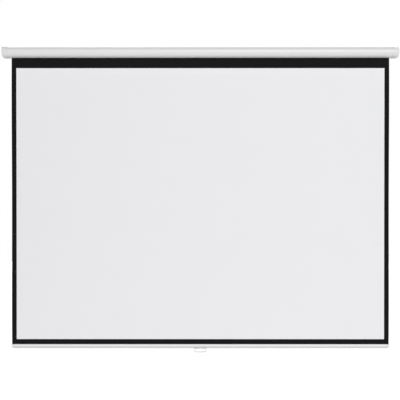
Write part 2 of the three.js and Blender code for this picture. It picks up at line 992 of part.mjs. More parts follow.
// The spring's wire runs straight along the axis for one wire diameter at each end
class SpringCurve extends THREE.Curve {
  getPoint(t, target = new THREE.Vector3()) {
    const lead = 2 * springWire;
    const along = t * springLength;
    const wound = THREE.MathUtils.clamp((along - lead) / (springLength - 2 * lead), 0, 1);
    const angle = wound * springTurns * 2 * Math.PI;
    return target.set(along - springOuter, springRadius * Math.cos(angle), springRadius * Math.sin(angle));
  }
}

function makeTorsionSpring() {
  const wire = new THREE.Shape(circle(0, 0, springWire, springWireSides));
  return new THREE.ExtrudeGeometry(wire, {
    extrudePath: new SpringCurve(),
    steps: springTurns * springStepsPerTurn,
    bevelEnabled: false,
  });
}

function makeSpringPlug() {
  const radius = tubeInnerRadius - clearance;
  const body = turnedAtReach(
    -1,
    [
      [springPlugInner, 0],
      [springPlugInner, radius],
      [springPlugOuter, radius],
      [springPlugOuter, 0],
    ],
    tubeSides,
  );
  const bore = alongReach(
    -1,
    circle(0, 0, springRodRadius + runningClearance),
    springPlugInner - cutOverrun,
    springPlugOuter + cutOverrun,
  );
  return cut(body, bore, keyway(-1, springPlugInner - cutOverrun, springPlugOuter + cutOverrun));
}

// Idle end

function makeGudgeonPin() {
  const pinEnd = bulkheadOuter + bushFlangeWidth;
  const collarOuter = flangeOuter + clearance + gudgeonCollarWidth;
  return turnedAtReach(1, [
    [tubeReach - plugLength, 0],
    [tubeReach - plugLength, gudgeonPlugRadius],
    [flangeOuter + clearance, gudgeonPlugRadius],
    [flangeOuter + clearance, gudgeonCollar],
    [collarOuter, gudgeonCollar],
    [collarOuter, gudgeonRadius],
    [pinEnd, gudgeonRadius],
    [pinEnd, 0],
  ]);
}

function makeIdlerBush() {
  const inner = bulkheadInner - clearance - bushFlangeWidth;
  const outer = bulkheadOuter + bushFlangeWidth;
  const bush = turnedAtReach(1, [
    [inner, 0],
    [inner, bushFlange],
    [inner + bushFlangeWidth, bushFlange],
    [inner + bushFlangeWidth, gudgeonRadius + bushWall],
    [outer, gudgeonRadius + bushWall],
    [outer, 0],
  ]);
  const bore = alongReach(
    1,
    circle(0, 0, gudgeonRadius + runningClearance),
    inner - cutOverrun,
    outer + cutOverrun,
  );
  return cut(bush, bore);
}

// The hanging cloth. Its side borders curl forward, most of all at mid-height.

function clothRow(height) {
  const fall = THREE.MathUtils.clamp((caseBottom - height) / (caseBottom - barTop), 0, 1);
  const fullCurl = edgeCurl * Math.sin(Math.PI * fall);
  const step = sideBorder / curlSteps;
  const half = [{ reach: viewWidth / 2, depth: clothDepth, lean: 0 }];
  for (let i = 0; i < curlSteps; i++) {
    const { reach, depth } = half[i];
    const lean = (fullCurl * (i + 1 / 2)) / curlSteps;
    half.push({
      reach: reach + step * Math.cos(lean),
      depth: depth + step * Math.sin(lean),
      lean: (fullCurl * (i + 1)) / curlSteps,
    });
  }
  const face = (offset) => {
    const right = half.map(({ reach, depth, lean }) => ({
      x: reach - offset * Math.sin(lean),
      depth: depth + offset * Math.cos(lean),
    }));
    return [...right.map(({ x, depth }) => ({ x: -x, depth })).reverse(), ...right];
  };
  const ring = [...face(clothThickness / 2), ...face(-clothThickness / 2).reverse()];
  return ring.map(({ x, depth }) => new THREE.Vector3(x, -depth, height));
}

function makeCloth() {
  const hemBottom = barTop - kederDrop + clearance;
  const heights = [-clearance];
  for (let row = 0; row <= curlRows; row++) {
    heights.push(THREE.MathUtils.lerp(caseBottom, barTop, row / curlRows));
  }
  heights.push(hemBottom);
  const rings = heights.map(clothRow);
  return loft(rings, ladder(rings[0].length));
}

function makeViewLayer() {
  const back = clothDepth + clothThickness / 2 + laminateGap;
  return block(-viewWidth / 2, viewWidth / 2, back, back + viewLayer, viewBottom, viewTop);
}

// Slat bar. Its section is drawn with the cloth plane at depth 0 and its top at height 0.

const chamberBottom = -barHeight + chamberFloor;

function barOutline() {
  const half = barDepth / 2;
  return {
    front: [
      ...corner(half - barFrontRound, -barFrontRound, barFrontRound, 90, 0, barRoundSteps),
      ...corner(half - barRound, -barHeight + barRound, barRound, 0, -90, barRoundSteps),
    ],
    back: [
      ...corner(-half + barRound, -barHeight + barRound, barRound, -90, -180, barRoundSteps),
      ...corner(-half + barRound, -barRound, barRound, 180, 90, barRoundSteps),
    ],
  };
}

function channelSection() {
  const { front, back } = barOutline();
  const pocketRadius = kederRadius + clearance;
  const mouth = THREE.MathUtils.radToDeg(Math.asin(barSlot / 2 / pocketRadius));
  return [
    pair(barSlot / 2, 0),
    ...front,
    ...back,
    pair(-barSlot / 2, 0),
    ...corner(0, -kederDrop, pocketRadius, 90 + mouth, 450 - mouth, roundSides / 2),
  ];
}

function chamber(margin) {
  return rectangle(
    -chamberWidth / 2 + margin,
    chamberBottom + margin,
    chamberWidth / 2 - margin,
    chamberBottom + chamberHeight - margin,
  );
}

const barReach = clothReach + barOverhang;
const barJoint = barReach - barCapLength;
const barCapPlugInner = barJoint - barCapPlug;

function makeBar() {
  const bar = alongX(channelSection(), -barJoint, barJoint, [chamber(0)]);
  const holes = [-1, 1].map((side) =>
    upright(
      side * handleScrewReach,
      clipScrewDepth - clothDepth,
      screwShank + clearance,
      -barHeight - cutOverrun,
      chamberBottom + clearance,
    ),
  );
  return cut(bar, ...holes);
}

function makeBarCap(side) {
  const { front, back } = barOutline();
  const inner = barJoint + clearance;
  const wallInner = barReach - barCapWall;
  return join(
    alongReach(side, channelSection(), inner, wallInner),
    alongReach(side, [...front, ...back], wallInner, barReach),
    alongReach(side, chamber(clearance), barCapPlugInner, inner + clearance),
  );
}

// A round bead with a slit that grips the cloth's lower edge
function makeKeder() {
  const mouth = THREE.MathUtils.radToDeg(Math.asin(kederSlit / 2 / kederRadius));
  const section = [
    ...corner(0, -kederDrop, kederRadius, 90 + mouth, 450 - mouth, roundSides),
    pair(kederSlit / 2, -kederDrop),
    pair(-kederSlit / 2, -kederDrop),
  ];
  return alongX(section, -clothReach, clothReach);
}

function makeWeight(side) {
  const outline = circle(0, chamberBottom + clearance + weightRadius, weightRadius, roundSides / 2);
  return alongReach(side, outline, weightSpan, barCapPlugInner - clearance);
}

// Pull handle: a folded clip under the bar with two knuckles, and a wire bail that swings in them

const clipInnerDepth = barFront + clearance;
const clipTop = barBottom + clipFlange;
const webTop = barBottom - clearance;
const clipScrewDepth = clipInnerDepth - clipWeb / 2;

function makeClip() {
  const outer = clipInnerDepth + clipSheet;
  const section = [
    pair(clipInnerDepth - clipWeb, webTop - clipSheet),
    pair(outer, webTop - clipSheet),
    pair(outer, clipTop),
    pair(clipInnerDepth, clipTop),
    pair(clipInnerDepth, webTop),
    pair(clipInnerDepth - clipWeb, webTop),
  ];
  const knuckles = [-1, 1].map((side) =>
    alongReach(
      side,
      circle(hingeDepth, hingeHeight, knuckleRadius),
      clipHalfLength - knuckleLength,
      clipHalfLength,
    ),
  );
  const bores = [-1, 1].map((side) =>
    alongReach(
      side,
      circle(hingeDepth, hingeHeight, wireRadius + clearance),
      clipHalfLength - knuckleLength - cutOverrun,
      clipHalfLength + cutOverrun,
    ),
  );
  const screwHoles = [-1, 1].map((side) =>
    upright(
      side * handleScrewReach,
      clipScrewDepth,
      screwShank + clearance,
      webTop - clipSheet - cutOverrun,
      webTop + cutOverrun,
    ),
  );
  return cut(join(alongX(section, -clipHalfLength, clipHalfLength), ...knuckles), ...bores, ...screwHoles);
}

// A wire path through corner points, each rounded by its own bend radius
const circularHandleShare = 0.5523;

function bentWire(stops) {
  const path = new THREE.CurvePath();
  let start = stops[0].at;
  for (let i = 1; i + 1 < stops.length; i++) {
    const { at, bend } = stops[i];
    const back = stops[i - 1].at.clone().sub(at).setLength(bend);
    const ahead = stops[i + 1].at.clone().sub(at).setLength(bend);
    const enter = at.clone().add(back);
    const leave = at.clone().add(ahead);
    path.add(new THREE.LineCurve3(start, enter));
    path.add(
      new THREE.CubicBezierCurve3(
        enter,
        enter.clone().addScaledVector(back, -circularHandleShare),
        leave.clone().addScaledVector(ahead, -circularHandleShare),
        leave,
      ),
    );
    start = leave;
  }
  path.add(new THREE.LineCurve3(start, stops.at(-1).at));
  return path;
}

// The bail about its hinge axis, hanging straight down
function makeBail() {
  const eyeEnd = clipHalfLength - knuckleLength + clearance;
  const stops = [
    { at: new THREE.Vector3(-eyeEnd, 0, 0) },
    { at: new THREE.Vector3(-bailHalfWidth, 0, 0), bend: bailEyeBend },
    { at: new THREE.Vector3(-bailHalfWidth, 0, -bailDrop), bend: bailCornerBend },
    { at: new THREE.Vector3(bailHalfWidth, 0, -bailDrop), bend: bailCornerBend },
    { at: new THREE.Vector3(bailHalfWidth, 0, 0), bend: bailEyeBend },
    { at: new THREE.Vector3(eyeEnd, 0, 0) },
  ];
  return new THREE.ExtrudeGeometry(new THREE.Shape(circle(0, 0, wireRadius, wireSides)), {
    extrudePath: bentWire(stops),
    steps: wireSteps,
    bevelEnabled: false,
  });
}

// Assembly

const sideNames = { '-1': 'left', 1: 'right' };

function buildCase() {
  const group = new THREE.Group();
  addPiece(group, 'case_shell', makeCaseShell(), 'whitePaint');
  addPiece(group, 'tang_bracket', makeTangBracket(), 'zincSteel');
  addPiece(group, 'pin_bracket', makePinBracket(), 'zincSteel');
  const capScrewLength = capReach - screwHeadHeight - bulkheadInner + clearance;
  const hangerScrewLength = hangerTop - caseTop + caseWall + 2 * screwShank;
  const makeCapScrew = () => makeScrew(capScrewLength, panHead);
  for (const side of [-1, 1]) {
    const name = sideNames[side];
    addPiece(group, `end_cap_${name}`, makeEndCap(side), 'whitePlastic');
    addPiece(group, `hanger_${name}`, makeHanger(side), 'zincSteel');
    for (const { name: place, depth, height } of capPosts) {
      const screw = addPiece(group, `cap_screw_${name}_${place}`, makeCapScrew(), 'zincSteel');
      screw.rotation.y = (side * Math.PI) / 2;
      screw.position.set(side * (capReach - screwHeadHeight + clearance), -depth, height);
    }
    const places = { rear: hangerScrewRearDepth, front: hangerScrewFrontDepth };
    for (const [place, depth] of Object.entries(places)) {
      const piece = `hanger_screw_${name}_${place}`;
      const screw = addPiece(group, piece, makeScrew(hangerScrewLength, flatHead), 'zincSteel');
      screw.position.set(side * hangerScrewReach, -depth, hangerTop - clearance);
    }
  }
  return group;
}

// Pieces about the roller's axis. The first four stay still; the rest turn with the tube.
function buildRoller() {
  const group = new THREE.Group();
  group.position.y = -rollerDepth;
  addPiece(group, 'spring_spindle', makeSpindle(), 'zincSteel');
  addPiece(group, 'ratchet_wheel', makeRatchet(), 'darkSteel');
  addPiece(group, 'retaining_ring', makeRetainingRing(), 'darkSteel');
  addPiece(group, 'idler_bush', makeIdlerBush(), 'nylon');
  addPiece(group, 'spring_hub', makeSpringHub(), 'nylon');
  addPiece(group, 'torsion_spring', makeTorsionSpring(), 'darkSteel');
  addPiece(group, 'spring_plug', makeSpringPlug(), 'nylon');
  addPiece(group, 'roller_tube', makeTube(), 'zincSteel');
  addPiece(group, 'lock_plug', makeLockPlug(), 'nylon');
  addPiece(group, 'idler_plug', makeRollerPlug(1, gudgeonPlugRadius + runningClearance), 'nylon');
  addPiece(group, 'gudgeon_pin', makeGudgeonPin(), 'zincSteel');
  addPiece(group, 'fabric_spline', makeSpline(), 'nylon');
  addPiece(group, 'fabric_on_roller', makeWoundCloth(), 'blackCloth');
  for (const [letter, half] of Object.entries({ a: 1, b: -1 })) {
    const pivot = new THREE.Group();
    pivot.position.z = half * pawlPivotRadius;
    pivot.rotation.x = half > 0 ? 0 : Math.PI;
    addPiece(pivot, `pawl_${letter}`, makePawl(), 'darkSteel');
    addPiece(pivot, `pawl_pin_${letter}`, makePawlPin(), 'zincSteel');
    group.add(pivot);
  }
  return group;
}

function buildCloth() {
  const group = new THREE.Group();
  addPiece(group, 'fabric_sheet', makeCloth(), 'blackCloth');
  addPiece(group, 'view_surface', makeViewLayer(), 'matteWhite');
  return group;
}

function buildBar() {
  const group = new THREE.Group();
  const section = new THREE.Group();
  section.position.set(0, -clothDepth, barTop);
  addPiece(section, 'slat_bar', makeBar(), 'whitePaint');
  addPiece(section, 'hem_keder', makeKeder(), 'nylon');
  for (const side of [-1, 1]) {
    addPiece(section, `slat_cap_${sideNames[side]}`, makeBarCap(side), 'whitePlastic');
    addPiece(section, `weight_rod_${sideNames[side]}`, makeWeight(side), 'darkSteel');
  }
  group.add(section);
  addPiece(group, 'handle_clip', makeClip(), 'greyPaint');
  const screwLength = clipSheet + clearance + chamberFloor + 2 * screwShank;
  for (const side of [-1, 1]) {
    const piece = `handle_screw_${sideNames[side]}`;
    const screw = addPiece(group, piece, makeScrew(screwLength, panHead), 'zincSteel');
    screw.rotation.x = Math.PI;
    screw.position.set(side * handleScrewReach, -clipScrewDepth, webTop - clipSheet - clearance);
  }
  const bail = addPiece(group, 'handle_bail', makeBail(), 'greyPaint');
  bail.position.set(0, -hingeDepth, hingeHeight);
  return group;
}

const screen = new THREE.Group();
screen.add(buildCase(), buildRoller(), buildCloth(), buildBar());

const woundGap = leastGap(woundLine(), wrapStepsPerTurn, clothThickness);
const springPoints = new SpringCurve().getPoints(springTurns * springStepsPerTurn);
const springGap = leastGap(springPoints, springStepsPerTurn, 2 * springWire);
console.log(`Least gap of the wound cloth to itself: ${woundGap.toFixed(2)} mm`);
console.log(`Least gap of the spring to itself: ${springGap.toFixed(2)} mm`);

export default screen;
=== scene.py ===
import json
import math

import bmesh
import bpy
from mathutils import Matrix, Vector


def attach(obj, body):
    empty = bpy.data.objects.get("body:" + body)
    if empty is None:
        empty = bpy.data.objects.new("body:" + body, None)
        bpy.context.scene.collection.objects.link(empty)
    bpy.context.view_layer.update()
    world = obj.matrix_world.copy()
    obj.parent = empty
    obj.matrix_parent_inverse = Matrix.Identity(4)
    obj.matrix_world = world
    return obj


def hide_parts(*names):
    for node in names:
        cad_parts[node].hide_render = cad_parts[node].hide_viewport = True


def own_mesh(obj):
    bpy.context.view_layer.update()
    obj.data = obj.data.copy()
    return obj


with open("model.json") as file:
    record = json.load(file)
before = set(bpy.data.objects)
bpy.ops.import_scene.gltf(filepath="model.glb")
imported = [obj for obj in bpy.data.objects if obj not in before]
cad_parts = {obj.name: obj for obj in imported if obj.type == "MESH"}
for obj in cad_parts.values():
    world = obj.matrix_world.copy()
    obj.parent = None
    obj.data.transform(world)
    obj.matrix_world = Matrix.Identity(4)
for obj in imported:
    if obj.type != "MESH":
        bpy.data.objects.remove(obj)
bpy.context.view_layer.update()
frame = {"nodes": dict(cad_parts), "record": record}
nodes = frame["nodes"]

# Lengths are in millimetres, unless a name ends in _m or _M, and MM turns them into metres. Across is
# measured from the screen's middle, depth forward from the case's back, and height up from the case's
# middle. A reach is how far something stands from the screen's middle, to either side. The sizes of round
# holes, posts, wires, bends and corners are radii.
MM = 0.001
DEGREE = math.pi / 180
SIDES = {"left": -1, "right": 1}

# How far a cutting tool runs past the surface it cuts, the ring that stands for a point, the distance
# under which points are one, and the curl under which cloth counts as flat
OVER, NEEDLE, MERGE_M, FLAT = 5.0, 0.001, 1e-7, 1e-6

# The sockets of a Mix node that mixes colours
MIX_SHARE, MIX_FIRST, MIX_SECOND, MIX_RESULT = 0, 6, 7, 2

# Case: a flat back, a front of two oval arcs that meet at the nose, and a slot with a lip up each side.
# Where its section shrinks, for the caps' rounded ends, its rear corners keep the least radius.
CASE_HEIGHT, CASE_DEPTH, CASE_WALL, CASE_REACH = 53.0, 60.0, 1.2, 1074.0
CASE_TOP, CASE_BOTTOM = CASE_HEIGHT / 2, -CASE_HEIGHT / 2
NOSE_HEIGHT, ROOF_DEPTH, FLOOR_DEPTH = 4.0, 44.0, 24.0
REAR_CORNER, LEAST_CORNER = 2.0, 0.2
SLOT_BACK, SLOT_FRONT, SLOT_LIP, SLOT_EDGE = 6.5, 16.5, 3.0, 0.5

# Hangers: a leg on the wall, bent forward into a wider plate over the cap
HANGER_SHEET, HANGER_BEND, HANGER_UNDERSIDE = 2.0, 1.2, 28.6
HANGER_TOP = HANGER_UNDERSIDE + HANGER_SHEET
HANGER_LEG, HANGER_DROP, HANGER_EDGE = 13.8, 8.0, 0.3
PLATE_INNER, PLATE_OUTER, PLATE_BACK, PLATE_FRONT = 1066.5, 1098.5, 4.0, 43.0
BELOW_PLATE, ABOVE_PLATE = 25.0, 35.0

# A keyhole in the leg and one in the plate: a hole for a screw's head, and a slot for its shank
KEYHOLE_REACH, KEYHOLE_HEAD, KEYHOLE_SLOT, KEYHOLE_LENGTH = 1081.9, 4.3, 2.3, 11.0
WALL_KEYHOLE_HEIGHT, CEILING_KEYHOLE_DEPTH = 3.0, 18.0

# Caps: cups over the case's ends, with a pocket for the hanger, room behind its keyholes, and posts for
# the screws as (depth, height)
CAP_REACH, CAP_INNER, CAP_PROUD, CAP_WALL = 1092.5, 1062.5, 1.8, 1.5
CAP_ROUND, CAP_RIM, CAP_FIT, CAP_EDGE = 7.0, 0.4, 0.3, 0.25
POCKET_INNER, POCKET_OUTER, POCKET_DEPTH, KEYHOLE_ROOM = 1074.3, 1089.5, HANGER_SHEET + CAP_FIT, 1.0
BELOW_ROOF, ABOVE_CAP = 20.0, 40.0
POSTS = {"front": (46.0, 12.0), "rear": (20.0, -16.0)}
POST_INNER, POST_RADIUS, POST_HOLE_START, COUNTERBORE = 1068.3, 3.5, 1060.0, 2.0

# Screws, with profiles of (along, radius). A pan head's profile starts at its seat, a flat head's under it.
SCREW_HOLE, HEAD_HOLE = 2.0, 3.6
PAN_HEAD = [(0, 3.3), (0.9, 3.3), (1.4, 3.1), (1.75, 2.7), (1.95, 2.0), (2.0, 0.0)]
FLAT_HEAD = [(-1.6, 1.7), (-0.15, 3.15), (-0.05, 3.25), (0.0, 3.2), (0.0, 0.0)]
COUNTERSINK = [(-6.0, SCREW_HOLE), (-1.6, SCREW_HOLE), (0.0, HEAD_HOLE), (4.0, HEAD_HOLE)]
SHANK_RADIUS, POINT_RADIUS, POINT_LENGTH, NECK = 1.5, 0.6, 1.4, 0.1
THREAD_PITCH, THREAD_ROOT, THREAD_CREST = 0.9, 1.45, 1.7

# The thread starts this far from the point, and at least this much of the shank has none
THREAD_START, UNTHREADED = 1.6, 1.8

# The cross recess tapers from its mouth to its foot
CROSS_HALF_WIDTH, CROSS_DEPTH, CROSS_RISE, CROSS_FOOT, CROSS_MOUTH = 0.42, 1.1, 1.0, 1.3, 2.1
CAP_SCREW_SEAT, CAP_SCREW_LENGTH = CAP_REACH - 1.7, 24.5
HANGER_SCREW_REACH, HANGER_SCREW_SEAT, HANGER_SCREW_LENGTH = 1071.0, HANGER_TOP - 0.3, 8.7
HANGER_SCREW_DEPTHS = {"rear": 8.0, "front": 38.0}

# Roller: the turns of cloth on it, and their inner end in the tube's groove, as (forward, up) of its axis
ROLLER_DEPTH = 32.0
WOUND_INNER, WOUND_PITCH, WOUND_TURNS = 19.5, 0.9, 1.75
WOUND_OUTER = WOUND_INNER + WOUND_PITCH * WOUND_TURNS
WOUND_END = [(1.5, -19.5), (1.0, -19.25), (0.8, -18.8), (0.8, -16.7)]

# Slat bar: a channel for the hem above and a chamber for the weight rods below
BAR_TOP, BAR_HEIGHT, BAR_DEPTH = -1617.0, 22.8, 16.0
BAR_BOTTOM = BAR_TOP - BAR_HEIGHT
BAR_SHOULDER, BAR_CORNER = 4.0, 2.0
BAR_JOINT, BAR_REACH = 1036.0, 1050.0
CHANNEL_RADIUS, CHANNEL_DROP, MOUTH_HALF = 3.7, 7.0, 1.2
CHAMBER_HALF, CHAMBER_FLOOR, CHAMBER_ROOF = 6.4, 1.5, 10.6

# The strip in the bar's face, with heights from the bar's top
INLAY_TOP, INLAY_BOTTOM, INLAY_SEAT = -11.4, -20.6, 0.9
INLAY_RIBS, INLAY_GAP, RIB_DEPTH, RIB_BEVEL = 6, 0.08, 0.25, 0.2

# The bar's end caps, whose rounded end is given as (distance from the outer face, growth)
SLAT_CAP_START, SLAT_CAP_OVERLAP = 0.3, 0.2
SLAT_CAP_ROUND = [(1.4, 0.0), (0.6, 0.0), (0.2, -0.25), (0.0, -0.7)]
PLUG_LENGTH, PLUG_OVERLAP, PLUG_GAP = 10.0, 0.3, 0.3

# Cloth: it hangs from the back of the roll. Its borders curl forward and its middle ripples backward.
CLOTH_REACH, VIEW_REACH, CLOTH_THICK = 1048.5, 1022.5, 0.4
CLOTH_DEPTH = ROLLER_DEPTH - WOUND_OUTER
CLOTH_TOP, HEM_BOTTOM = -0.3, BAR_TOP - 6.7
VIEW_TOP, VIEW_BOTTOM, VIEW_GAP, VIEW_THICK = -82.5, -1589.5, 0.05, 0.2
EDGE_CURL, RIPPLE_DEPTH, SLANT_SHARE = 55 * DEGREE, 0.5, 0.6
BROAD_ACROSS, BROAD_DOWN, BROAD_PHASES = 190.0, 410.0, (0.7, 0.4)
SLANT_ACROSS, SLANT_DOWN = 83.0, 700.0

# Pull handle: a folded clip under the bar's front edge, with two knuckles that hold a wire bail
CLIP_FIT, CLIP_SHEET, CLIP_REACH, CLIP_UNDER, CLIP_RISE = 0.3, 1.2, 28.0, 12.0, 7.0
CLIP_INNER = CLOTH_DEPTH + BAR_DEPTH / 2 + CLIP_FIT
CLIP_OUTER = CLIP_INNER + CLIP_SHEET
CLIP_BEND, CLIP_LIP, CLIP_EDGE = 1.3, 0.5, 0.2
WEB_TOP = BAR_BOTTOM - CLIP_FIT
WEB_BOTTOM = WEB_TOP - CLIP_SHEET
HINGE_DEPTH, HINGE_HEIGHT = CLIP_OUTER + 3.0, BAR_BOTTOM + 2.0
KNUCKLE_INNER, KNUCKLE_RADIUS, PIN_HOLE = 17.0, 3.6, 2.3
BAIL_HALF, BAIL_DROP, BAIL_EYE, BAIL_WIRE = 31.3, 20.3, 17.3, 2.0
ELBOW_BEND, GRIP_BEND, BAIL_EDGE = 3.0, 9.0, 0.3

# The clip's screws, and their holes in bar and clip as heights above the bar's bottom
CLIP_SCREW_REACH, CLIP_SCREW_DEPTH = 11.0, CLIP_INNER - 6.0
CLIP_SCREW_SEAT, CLIP_SCREW_LENGTH = WEB_BOTTOM - 0.3, 6.4
BAR_HOLE, CLIP_HOLE = (-6.0, 1.8), (-12.0, 5.0)

# Floor and camera
FLOOR_HEIGHT, FLOOR_HALF = -2030.0, 9000.0
IMAGE_PIXELS, FOCAL_PIXELS, SENSOR_WIDTH = 400, 741.8, 36.0
CAMERA_AT_M, CAMERA_SHIFT = (0.0056, -4.13664, -0.7595), -0.0119
CAMERA_DIP, CAMERA_TURN = 0.4 * DEGREE, 0.102 * DEGREE


# Mesh building

def new_object(name, data):
    obj = bpy.data.objects.new(name, data)
    bpy.context.scene.collection.objects.link(obj)
    return obj


def mesh_object(name, verts, faces):
    """A mesh of (across, depth, height) points, with its faces turned outwards."""
    mesh = bpy.data.meshes.new(name)
    mesh.from_pydata([(x * MM, -d * MM, z * MM) for x, d, z in verts], [], faces)
    mesh.validate()
    obj = new_object(name, mesh)
    bm = bmesh.new()
    bm.from_mesh(mesh)
    bmesh.ops.remove_doubles(bm, verts=bm.verts, dist=MERGE_M)
    bmesh.ops.recalc_face_normals(bm, faces=bm.faces)
    bm.to_mesh(mesh)
    bm.free()
    return obj


def steps_between(a, b, steps):
    return [a + (b - a) * i / steps for i in range(steps + 1)]


def on_side(side, inner, outer):
    """The range across from inner to outer, on the left or the right."""
    return sorted((side * inner, side * outer))


def loft(name, rings):
    """A skin over rings of equally many points, closed at both ends."""
    n = len(rings[0])
    verts = [point for ring in rings for point in ring]
    faces = []
    for k in range(len(rings) - 1):
        a, b = k * n, (k + 1) * n
        faces += [(a + i, a + (i + 1) % n, b + (i + 1) % n, b + i) for i in range(n)]
    faces.append(tuple(range(n)))
    faces.append(tuple(range(len(verts) - n, len(verts))))
    return mesh_object(name, verts, faces)


def prism(name, outline, x0, x1, spans=1):
    """A section of (depth, height) points drawn out across."""
    return loft(name, [[(x, d, z) for d, z in outline] for x in steps_between(x0, x1, spans)])


def box(name, x0, x1, d0, d1, z0, z1):
    return prism(name, [(d0, z0), (d1, z0), (d1, z1), (d0, z1)], x0, x1)


def square_axes(axis):
    """The unit vector along an axis, and two more square to it and to each other."""
    a = Vector(axis).normalized()
    upright = abs(a.z) > abs(a.x) + abs(a.y)
    u = a.cross(Vector((1, 0, 0)) if upright else Vector((0, 0, 1))).normalized()
    return a, u, a.cross(u)


def lathe(name, profile, centre, axis, sides=32):
    """Turns (along, radius) pairs about an axis through the centre."""
    a, u, v = square_axes(axis)
    c = Vector(centre)
    rings = []
    for along, radius in profile:
        r = max(radius, NEEDLE)
        rings.append([
            tuple(c + a * along + (u * math.cos(t) + v * math.sin(t)) * r)
            for t in (2 * math.pi * i / sides for i in range(sides))
        ])
    return loft(name, rings)


def drill(radius, start, end, centre, axis, sides=32):
    """A round tool from start to end along the axis."""
    return lathe("tool", [(start, radius), (end, radius)], centre, axis, sides)


def apply_modifiers(obj):
    graph = bpy.context.evaluated_depsgraph_get()
    mesh = bpy.data.meshes.new_from_object(obj.evaluated_get(graph))
    obj.modifiers.clear()
    old = obj.data
    obj.data = mesh
    bpy.data.meshes.remove(old)


def combine(obj, others, operation):
    """Cuts others from obj, or joins them to it, and deletes them."""
    for other in others:
        m = obj.modifiers.new(operation, "BOOLEAN")
        m.operation, m.solver, m.object = operation, "EXACT", other
    apply_modifiers(obj)
    for other in others:
        mesh = other.data
        bpy.data.objects.remove(other)
        bpy.data.meshes.remove(mesh)


def soften(obj, width, angle=40):
    """Rounds the sharp edges, as a mould or a press leaves them."""
    m = obj.modifiers.new("edges", "BEVEL")
    m.width, m.segments, m.limit_method = width * MM, 2, "ANGLE"
    m.angle_limit = angle * DEGREE
    m.use_clamp_overlap = True
    apply_modifiers(obj)


def smooth(obj, angle=40):
    obj.data.shade_smooth()
    obj.data.set_sharp_from_angle(angle=angle * DEGREE)


def smooth_bends(obj):
    """Smooth shading in which the flats stay flat beside the rounded edges."""
    smooth(obj, angle=30)
    m = obj.modifiers.new("normals", "WEIGHTED_NORMAL")
    m.keep_sharp = True
    apply_modifiers(obj)


def oval_arc(cx, cy, rx, ry, start, end, steps):
    """Points along part of an oval, between two angles in degrees."""
    return [
        (cx + rx * math.cos(t), cy + ry * math.sin(t))
        for t in (degrees * DEGREE for degrees in steps_between(start, end, steps))
    ]


def arc(cx, cy, radius, start, end, steps):
    return oval_arc(cx, cy, radius, radius, start, end, steps)


def mitres(path):
    """Each point of a path, its mean heading there, and how much wider a mitre is there."""
    for i, point in enumerate(path):
        before = (point - path[i - 1]).normalized() if i else (path[1] - point).normalized()
        after = (path[i + 1] - point).normalized() if i + 1 < len(path) else before
        heading = (before + after).normalized()
        yield point, heading, 1 / heading.dot(after)


def rounded_path(stops, steps=10):
    """Points along straight runs joined by square round bends; each stop is (point, bend radius)."""
    path = [stops[0][0]]
    for i in range(1, len(stops) - 1):
        at, bend = stops[i]
        back = (stops[i - 1][0] - at).normalized() * bend
        ahead = (stops[i + 1][0] - at).normalized() * bend
        centre = at + back + ahead
        for a in steps_between(0, math.pi / 2, steps):
            path.append(centre - ahead * math.cos(a) - back * math.sin(a))
    path.append(stops[-1][0])
    return path


def tube(name, path, radius, sides=20):
    """A round wire along a path that lies in an upright plane across the screen."""
    rings = []
    normal = Vector((0, 1, 0))
    for point, heading, stretch in mitres(path):
        side = heading.cross(normal) * stretch
        rings.append([
            tuple(point + (normal * math.cos(t) + side * math.sin(t)) * radius)
            for t in (2 * math.pi * k / sides for k in range(sides))
        ])
    return loft(name, rings)


# Materials

